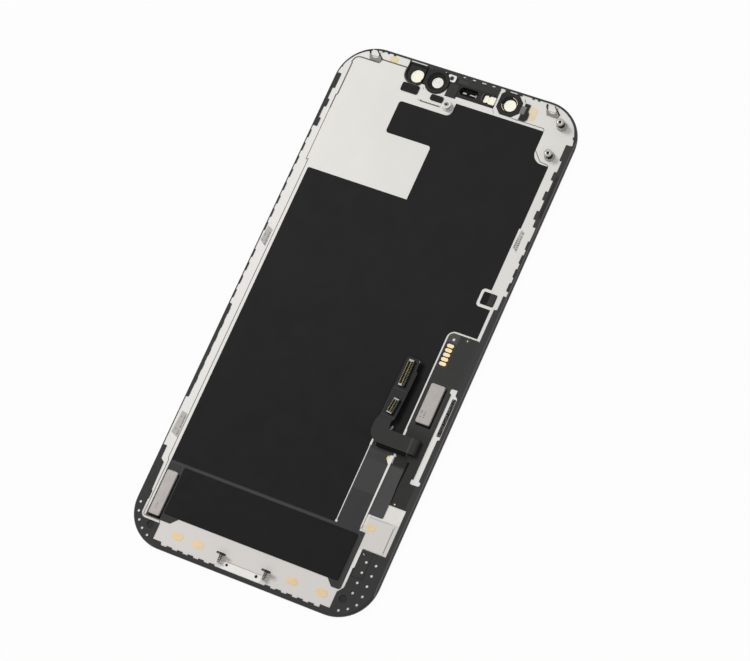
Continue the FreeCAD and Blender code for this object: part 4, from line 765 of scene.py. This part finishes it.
# Round ends of the earpiece slot, of which the outer halves are used
leftEnd, rightEnd = disc(0.6, 67.45, 1.16, 40), disc(3.6, 67.45, 1.16, 40)
dimpleSpots = ((-27.8, -67.0), (27.2, -67.0))
flatDetails = {
    "clipSlits": {"look": ("pinBlack", "plate_steel"), "levels": (1.47, 1.8), "outlines": slits},
    "clipShade": {"look": ("shadeGrey", "plate_steel"), "levels": (1.47, 1.79), "outlines": [
        [(x - 1.5, 69.4), (x - 1.1, 69.45), (x - 0.55, 69.0), (x + 0.3, 68.8), (x + 0.95, 68.95),
        (x + 1.3, 69.5), (x + 2.2, 69.15), (x + 2.2, 68.55), (x + 1.9, 68.05), (x + 0.6, 68.1),
        (x - 0.95, 68.15)] for x in clipXs]},
    "etchedPatches": {"look": ("etchGrey", "plate_steel"), "levels": (1.47, 1.484), "outlines": [
        [(-33.3, 16.6), (-31.65, 15.9), (-31.7, 11.0), (-33.7, 12.3)],
        [(-33.2, -36.9), (-31.4, -37.2), (-31.3, -43.9), (-33.5, -43.0)],
        [(30.4, 37.0), (31.5, 36.5), (31.55, 30.8), (30.1, 32.0)]]},
    "seamCovers": {"look": ("plateSteel", "plate_steel"), "levels": (1.47, 1.487), "outlines": [
        box(29.2, 30.6, 5.98, 6.35), box(29.6, 30.2, 6.4, 54.5),
        [(29.3, -40.95), (30.5, -40.95), (30.6, -45.2), (29.3, -45.2)],
        [(-11.6, 65.75), (-11.6, 64.7), (-10.8, 64.7), (-9.9, 63.8), (-9.9, 61.85), (-8.9, 61.85),
            (-8.9, 64.35), (-10.3, 65.75)],
        strip([(-3.72, 61.6), (-3.62, 61.0), (-3.42, 60.63), (-3.07, 60.38), (-2.65, 60.28),
            (-1.75, 60.28), (-1.38, 60.34), (-1.04, 60.49), (-0.76, 60.74), (-0.55, 61.05), (-0.43, 61.6),
            (-0.43, 64.08), (-0.08, 64.43), (15.5, 64.45)], 0.5)]},
    "seamPatch": {"look": ("plateSteel", "plate_steel"), "levels": (1.47, 1.487), "outlines": [
        [(-31.9, 66.0), (-31.2, 66.0), (-30.6, 67.2), (-29.3, 67.6), (-29.3, 68.3), (-31.6, 68.3)]]},
    "seamCorner": {"look": ("seamDark", "cushion_foam"), "levels": (1.47, 1.49), "outlines": [
        strip([(-31.62, 65.9), (-31.45, 66.7), (-31.1, 67.4), (-30.55, 67.82), (-29.9, 67.98),
            (-29.2, 68.0)], 0.37)]},
    "plateLines": {"look": ("seamDark", "plate_steel"), "levels": (1.47, 1.489), "outlines": [
        strip([(-10.3, 61.7), (-9.5, 61.4), (-3.6, 61.4)], 0.12),
        strip([(-10.2, 65.2), (-9.8, 64.7)], 0.12),
        strip([(9.7, 70.9), (9.6, 66.4), (9.9, 65.2), (10.6, 64.1)], 0.1),
        strip([(17.0, 64.1), (17.4, 65.2)], 0.12), strip([(16.9, 70.4), (17.3, 69.6)], 0.2),
        strip([(-5.9, -68.8), (-4.2, -68.9), (-2.4, -68.78), (-0.4, -68.88), (1.6, -68.8), (3.4, -68.9),
            (5.0, -68.8)], 0.09)]},
    "lowerChannel": {"look": ("brightSteel", "plate_steel"), "levels": (1.47, 1.489), "outlines": [
        [(-5.95, -70.85), (5.1, -70.85), (5.3, -69.9), (5.1, -68.95), (-5.7, -68.95)]]},
    # Black discs in place of the channel's holes, painted shade
    "channelHoles": {"look": ("connectorBlack", "plate_steel"), "levels": (1.48, 1.494), "outlines": [
        disc(-4.5, -69.6, 0.36), disc(3.9, -69.6, 0.42)]},
    "groundLines": {"look": ("seamDark", "plate_steel"), "levels": (1.59, 1.606), "outlines": [
        strip([(31.75, -46.2), (31.78, -52.9)], 0.12), strip([(24.9, -45.6), (31.0, -45.5)], 0.07)]},
    "dimpleFloors": {"look": ("sensorPlastic", "frame_plastic"), "levels": (1.55, 1.575), "outlines": [
        disc(x, y, 1.03) for x, y in dimpleSpots]},
    "stripEdge": {"look": ("stripFilm", "board_film"), "levels": (1.6, 1.664), "outlines": [
        box(24.02, 24.5, -44.9, -31.0)]},
    "stripShade": {"look": ("pinBlack", "board_film"), "levels": (1.6, 1.668), "outlines": [
        [(27.99, -29.29), (28.01, -29.97), (27.99, -32.75), (27.97, -35.54), (28.16, -38.23),
            (28.38, -40.37), (28.54, -40.37), (28.44, -38.23), (28.35, -35.54), (28.49, -32.75),
            (28.63, -29.97), (28.59, -29.29)]]},
    "boardEdge": {"look": ("boardFilm", "board_film"), "levels": (1.55, 1.662), "outlines": [
        strip([(24.37, -21.5), (24.37, 4.5), (24.55, 5.15), (25.2, 5.66), (32.2, 5.68)], 0.22),
        box(27.6, 28.4, -29.2, -28.6)]},
    "armEdge": {"look": ("flexFilm", "flex_film"), "levels": (1.55, 1.602), "outlines": [
        box(17.22, 17.5, -49.0, -28.4)]},
    "graphiteEdge": {"look": ("graphite", "graphite"), "levels": (1.5, 1.542), "outlines": [
        box(16.7, 16.92, -49.0, -28.4)]},
    # Black box in the gap of the fold, painted shade
    "foldGapShade": {"look": ("pinBlack", "flex_film"), "levels": (2.1, 2.8), "outlines": [
        box(18.9, 27.0, -28.2, -26.2)]},
    "cornerLines": {"look": ("tapeBlack", "frame_plastic"), "levels": (1.61, 1.628), "outlines": [
        strip([(26.6, -60.9), (26.6, -53.7)], 0.12), strip([(29.7, -53.7), (29.7, -60.9)], 0.12),
        strip([(26.6, -60.9), (29.7, -60.9)], 0.12)]},
    "cornerMark": {"look": ("markGrey", "frame_plastic"), "levels": (1.61, 1.632), "outlines": [
        strip([(27.15, -54.6), (27.65, -54.95)], 0.16)]},
    # Painted shadows along the right and lower sides of the two cans
    "canShadows": {"look": ("pinBlack", "tape_black"), "levels": (1.59, 1.672), "outlines": [
        box(29.35, 29.82, -19.55, -8.75), box(25.75, 29.82, -19.6, -19.0),
        box(-26.6, -26.2, -64.9, -52.8), box(-29.45, -26.2, -64.95, -64.4)]},
    "canFilm": {"look": ("lineGrey", "board_film"), "levels": (1.655, 1.67), "outlines": [
        strip([(25.3, -7.75), (29.9, -7.7), (30.25, -8.1), (30.25, -19.9)], 0.09),
        strip([(29.9, 3.4), (30.5, 3.22), (31.3, 2.95)], 0.07)]},
    "armLightStrip": {"look": ("plateSteel", "plate_steel"), "levels": (1.6, 1.795), "outlines": [
        [(23.7, -48.8), (24.0, -48.8), (24.2, -29.05), (23.35, -29.15), (22.95, -30.2), (22.98, -30.8),
            (23.62, -31.6)]]},
    "armGold": {"look": ("copperDot", "contact_gold"), "levels": (1.6, 1.8), "outlines": [
        [(22.95, -30.75), (22.62, -30.4), (22.55, -29.95), (22.75, -29.5), (23.2, -29.3),
            (22.97, -30.2)]]},
    # Lighter bands along the flex's raised edges, painted highlights
    "flexBands": {"look": ("flexLight", "flex_film"), "levels": (1.595, 1.62), "outlines": [
        box(-30.0, 16.9, -50.35, -49.85), box(-26.45, -26.05, -64.3, -50.35),
        strip([(23.5, -49.6), (24.95, -51.4), (24.95, -63.9)], 0.4)]},
    "tailLines": {"look": ("lineGrey", "flex_film"), "levels": (3.015, 3.03), "outlines": [
        strip([(17.0, -12.85), (20.6, -13.05)], 0.09), strip([(16.9, -20.2), (20.5, -20.4)], 0.09),
        strip([(16.95, -20.1), (16.95, -13.0)], 0.06)]},
    "cornerRim": {"look": ("framePlastic", "frame_plastic"), "levels": (1.47, 1.4865), "outlines": [
        rimOutline]},
    # Light line on the fold, a painted highlight
    "foldHighlight": {"look": ("flexLight", "flex_film"), "levels": (3.01, 3.022), "outlines": [
        strip([(27.4, -28.35), (27.4, -24.0)], 0.14)]},
    "innerTab": {"look": ("tabPale", "flex_film"), "levels": (1.53, 1.56), "outlines": [
        [(20.1, -23.2), (20.75, -22.95), (20.8, -22.1), (20.5, -21.75), (20.15, -22.4)]]},
    "tailCorner": {"look": ("tabPale", "contact_gold"), "levels": (3.015, 3.03), "outlines": [
        strip([(20.45, -4.35), (20.65, -4.5), (20.65, -4.85)], 0.09)]},
    "earpieceFloor": {"look": ("pinBlack", "mesh_steel"), "levels": (0.752, 0.77), "outlines": [
        leftEnd[10:31] + rightEnd[30:] + rightEnd[:11]]},
    "earpieceBits": {"look": ("markGrey", "mesh_steel"), "levels": (0.9, 0.93), "outlines": [
        box(0.35, 1.35, 67.05, 67.4), box(2.35, 4.15, 67.1, 67.35), box(3.9, 4.2, 66.9, 67.6)]},
    "filmPad": {"look": ("flexLight", "tape_black"), "levels": (1.42, 1.45), "outlines": [
        box(-1.85, 0.85, 69.35, 70.3)]},
    "windowArc": {"look": ("seamDark", "sensor_plastic"), "levels": (1.57, 1.59), "outlines": [
        strip([(6.1, 68.55), (5.85, 68.1), (5.78, 67.5), (5.85, 66.9), (6.1, 66.4)], 0.12)]},
    "shelfHole": {"look": ("brightSteel", "plate_steel"), "levels": (1.61, 1.626), "outlines": [
        disc(-6.0, 70.95, 0.12, 16)]},
    "padShade": {"look": ("patchBlack", "graphite"), "levels": (1.59, 1.604), "outlines": [
        box(30.0, 31.6, 15.45, 18.45)]},
}
for name, spec in flatDetails.items():
    flatPiece(name, spec)
print("flat details", len(flatDetails))


# Turned details: rings round dots, sleeves of the posts painted dark as shade, painted glints in the
# infrared ring, painted shade in the camera's cone and the posts' bores
def band(inner, outer, low, high):
    return [(inner, low), (outer, low), (outer, high), (inner, high)]


# Centre and top of the boss and of the two posts
postSpots = ((-1.75, 62.2, 3.08), (29.0, 66.5, 4.28), (29.25, 57.8, 3.88))
turnedDetails = {
    "boardRings": {"look": ("lineGrey", "board_film"), "turned": [
        (29.45, 4.9, band(0.5, 0.58, 1.655, 1.668))]},
    "boardDots": {"look": ("copperDot", "contact_gold"), "sides": 16, "turned": [
        (29.45, 4.9, band(pinhole, 0.2, 1.655, 1.675)),
        (29.45, -40.45, band(pinhole, 0.22, 1.655, 1.675))]},
    # Dark sleeves on the posts' side walls, painted shade
    "postSleeves": {"look": ("shadeReflectionBlack", "post_steel"), "turned": [
        (x, y, band(0.815, 0.845, 1.74, top - 0.16)) for x, y, top in postSpots[1:]]},
    "dimpleShade": {"look": ("pinBlack", "frame_plastic"), "arc": (70, 210), "turned": [
        (x, y, band(0.86, 1.03, 1.56, 1.59)) for x, y in dimpleSpots]},
    "postSkirts": {"look": ("collarSteel", "post_steel"), "turned": [
        (x, y, [(0.82, 1.5), (1.32, 1.5), (1.34, 1.56), (1.34, top - 1.9), (1.26, top - 1.8),
        (1.0, top - 1.8), (0.86, top - 1.95)]) for x, y, top in postSpots[1:]]},
    "postHeads": {"look": ("collarSteel", "post_steel"), "turned": [
        (x, y, [(0.5, top - 0.3), (1.0, top - 0.3), (1.05, top - 0.24), (1.05, top - 0.08),
        (0.97, top - 0.005), (0.5, top - 0.005)]) for x, y, top in postSpots[1:]]},
    "postFeet": {"look": ("shadeGrey", "post_steel"), "turned": [
        (x, y, band(1.29, 1.4, 1.47, 1.492)) for x, y, top in postSpots]},
    "bossHead": {"look": ("plateSteel", "post_steel"), "turned": [
        (-1.75, 62.2, [(0.36, 2.78), (1.1, 2.78), (1.18, 2.86), (1.18, 3.0), (1.08, 3.08), (0.36, 3.08)]),
        (-1.75, 62.2, band(0.8, 1.3, 1.5, 1.8))]},
    # Half cone on the left side of the camera cup, painted shade
    "cameraCone": {"look": ("coneShade", "sensor_plastic"), "arc": (110, 290), "turned": [
        (-7.25, 67.75, [(1.52, 0.9), (2.35, 1.5), (2.4, 1.5), (2.4, 1.44), (1.6, 0.88)])]},
    # Black discs down in the posts' bores, painted shade
    "postBores": {"look": ("pinBlack", "post_steel"), "turned": [
        (x, y, band(pinhole, 0.37, top - 0.75, top - 0.7)) for x, y, top in postSpots]},
    "microphoneRing": {"look": ("darkSteel", "plate_steel"), "turned": [
        (-3.925, 69.9, band(0.45, 0.64, 1.525, 1.545))]},
}
# Cream arcs on two sides of the infrared ring, painted glints
for name, arc in (("glintUpper", (15, 85)), ("glintLower", (190, 250))):
    turnedDetails[name] = {"look": ("creamPad", "sensor_plastic"), "arc": arc,
                           "turned": [(13.62, 67.75, band(1.98, 2.12, 1.66, 1.69))]}
for name, spec in turnedDetails.items():
    lathePiece(name, spec)
print("turned details", len(turnedDetails))


# Repeated details, grown by the trees
def turnedPlace(centre, offset, degrees, z):
    angle = math.radians(degrees)
    x = centre[0] + offset[0] * math.cos(angle) - offset[1] * math.sin(angle)
    y = centre[1] + offset[0] * math.sin(angle) + offset[1] * math.cos(angle)
    return (x, y, z)


# Contact rows of the connectors: side, height, length and width of the pins in each column
pinPitch = 0.4
pinShape = {"Columns": 1, "Run X": 0.0, "Thickness": 0.04, "Arch": 0.10, "Keep": 1.0, "Vary": 0.15,
            "Seed": 3}
connectors = {
    "large": {"spot": (18.70, -8.40), "tilt": 0, "count": 16, "grey": [(0.66, 3.63, 0.28, 0.16)],
              "gold": [(-0.70, 3.63, 0.3, 0.2), (0.06, 3.6, 0.34, 0.2)]},
    "small": {"spot": (19.05, -17.50), "tilt": -6.5, "count": 8, "grey": [(0.64, 3.63, 0.28, 0.16)],
              "gold": [(-0.68, 3.63, 0.28, 0.2), (0.02, 3.6, 0.34, 0.2)]},
}


def pinColumns(spec, columns):
    # Each column runs along its connector, turned with it
    return [{**pinShape, "Rows": spec["count"], "Run Y": (spec["count"] - 1) * pinPitch,
             "Length": length, "Width": width, "Turn": (0, 0, spec["tilt"]),
             "Place": turnedPlace(spec["spot"], (side, 0.0), spec["tilt"], z)}
            for side, z, length, width in columns]


for size, spec in connectors.items():
    grow(size + "ConnectorPins", {"tree": "archRows", "look": ("pinGold", "contact_gold"),
                                  "replaces": [size + "_connector_contacts"],
                                  "grown": pinColumns(spec, spec["gold"])})
    grow(size + "ConnectorGreyPins", {"tree": "archRows", "look": ("pinGrey", "contact_gold"),
                                      "grown": pinColumns(spec, spec["grey"])})
print("connector pins", len(connectors))

# Slot of the earpiece mesh, with round ends, and the pitch and form of its wires
weave = {"low": -0.55, "high": 4.75, "middle": 67.45, "half": 1.05, "pitch": 0.23, "inset": 0.05,
         "level": 0.83, "wave": 0.03, "wire": 0.04}


def meshWire(step, x, y, length, bends, turn):
    # Neighbouring wires wave the other way
    return {"Length": length, "Bends": bends / weave["pitch"], "Wave": weave["wave"] * (-1) ** step,
            "Wire": weave["wire"], "Place": (x, y, weave["level"]), "Turn": (0, 0, turn)}


def meshWires():
    # Wires both ways, cut to the round ends of the slot
    keys = ("low", "high", "middle", "half", "pitch", "inset")
    low, high, middle, half, pitch, inset = (weave[key] for key in keys)
    wires = []
    for step in range(-4, 5):
        y = step * pitch
        reach = half - math.sqrt(half * half - y * y)
        length = high - low - 2 * reach - 2 * inset
        wires.append(meshWire(step, low + reach + inset, middle + y, length, length, 0))
    for step in range(1, 23):
        x = low + step * pitch
        near = max(0.0, half - min(x - low, high - x))
        reach = math.sqrt(half * half - near * near)
        wires.append(meshWire(step, x, middle - reach + inset, 2 * reach - 2 * inset, 2 * reach, 90))
    return wires


def marks(place, rows, runY, length, width, seed, keep=0.8, columns=1, runX=0.0):
    # Rows of flat bars in place of printed or etched text
    return {"Columns": columns, "Rows": rows, "Run X": runX, "Run Y": runY, "Length": length,
            "Width": width, "Thickness": 0.008, "Arch": 0.0, "Vary": 0.55, "Keep": keep, "Seed": seed,
            "Place": place}


lobeXs = (-6.46, 6.34)
ringXs = (-6.6, 6.2)
bladeXs = (-6.45, 6.35)
repeated = {
    "barrelRidges": {"tree": "ringStack", "look": ("postSteel", "post_steel"), "round": True, "grown": [
        {"Count": 3, "Step": (0.0, 0.0, 0.5), "Radius": 0.5, "Wire": 0.11, "Place": (x, -67.95, 2.16),
         "Turn": (90, 0, 0)} for x in ringXs]},
    # Black bars on the barrels, painted dark reflections of their threads
    "barrelDarkReflections": {"tree": "archRows", "look": ("pinBlack", "post_steel"), "grown": [
        {"Columns": 2, "Rows": 4, "Run X": 0.48, "Run Y": 1.5, "Length": 0.34, "Width": 0.28,
         "Thickness": 0.08, "Arch": 0.04, "Vary": 0.15, "Keep": 1.0, "Seed": 2, "Place": (x, -69.0, 2.74)}
        for x in lobeXs]},
    "boreThreads": {"tree": "ringStack", "look": ("darkSteel", "post_steel"), "round": True, "grown": [
        {"Count": 5, "Step": (0.0, 0.0, -0.12), "Radius": 0.36, "Wire": 0.035, "Place": (x, y, top - 0.08)}
        for x, y, top in postSpots]},
    "earpieceWeave": {"tree": "wavyWire", "look": ("meshSteel", "mesh_steel"), "round": True,
        "replaces": ["earpiece_mesh"], "grown": meshWires()},
    "etchedBars": {"tree": "archRows", "look": ("printGrey", "plate_steel"), "grown": [
        marks((-32.1, 13.5, 1.487), 8, 3.8, 0.6, 0.26, 4, keep=0.95),
        marks((-33.1, 13.6, 1.487), 6, 2.4, 0.4, 0.2, 5, keep=0.6),
        marks((-31.75, -40.5, 1.487), 11, 5.0, 0.5, 0.26, 7, keep=0.95),
        marks((-32.7, -40.4, 1.487), 8, 4.0, 0.7, 0.16, 8, keep=0.6),
        marks((31.2, 33.9, 1.487), 9, 4.6, 0.5, 0.3, 9, keep=0.95),
        marks((30.5, 33.2, 1.487), 6, 2.4, 0.4, 0.24, 10)]},
    "canBars": {"tree": "archRows", "look": ("printGrey", "shield_steel"), "grown": [
        marks((26.75, -16.7, 2.362), 4, 1.5, 0.62, 0.16, 5, columns=2, runX=0.95),
        marks((-28.15, -61.9, 2.302), 5, 1.3, 0.5, 0.12, 6)]},
    "insertBlocks": {"tree": "archRows", "look": ("pinBlack", "label_film"), "grown": [
        marks((32.4, -15.5, 1.582), 17, 9.4, 0.5, 0.34, 11),
        marks((32.75, -15.2, 1.582), 13, 8.6, 0.34, 0.3, 12)]},
    "insertLights": {"tree": "archRows", "look": ("markGrey", "label_film"), "grown": [
        marks((32.35, -15.4, 1.584), 24, 9.6, 0.26, 0.12, 21, keep=0.5),
        marks((32.8, -15.5, 1.584), 24, 9.6, 0.2, 0.1, 23, keep=0.5)]},
}
for name, spec in repeated.items():
    grow(name, spec)


# Metal ends of the connectors, and what stands at the screw brackets: blades black as painted dark
# reflection, barrels with painted highlights
def smallCap(outer, inner):
    # Outline at one end of the small connector, from its outer to its inner side
    spec = connectors["small"]
    corners = ((-0.8, outer), (0.75, outer), (0.6, inner), (-0.7, inner))
    return [turnedPlace(spec["spot"], corner, spec["tilt"], 0)[:2] for corner in corners]


# Dark round blade, its black a painted dark reflection: half width 1.3, half height 0.88, centre at 3.12
bladeShape = [(1.3 * aside, 3.12 + 0.88 * rise) for aside, rise in disc(0, 0, 1, 24)]
caps = {
    "connectorCaps": {"look": ("capSilver", "contact_gold"), "levels": (3.615, 3.66), "outlines": [
        [(18.0, -4.8), (19.35, -4.8), (19.35, -5.05), (18.95, -5.35), (18.35, -5.35), (18.0, -5.05)],
        [(18.0, -12.0), (19.1, -12.0), (18.9, -11.6), (18.4, -11.5), (18.0, -11.6)],
        smallCap(2.05, 1.7), smallCap(-2.05, -1.75)]},
    "bracketBlades": {"look": ("shadeReflectionBlack", "post_steel"), "levels": (-67.85, -67.45), "upright": True,
        "outlines": [[(x + aside, z) for aside, z in bladeShape] for x in bladeXs]},
    # Light bars along the barrels' tops, painted highlights
    "barrelHighlights": {"look": ("capSilver", "post_steel"), "levels": (2.6, 2.76), "outlines": [
        box(x - 0.05, x + 0.05, -69.7, -67.9) for x in lobeXs]},
}
for name, spec in caps.items():
    flatPiece(name, spec)
print("repeated details", len(repeated) + len(caps))
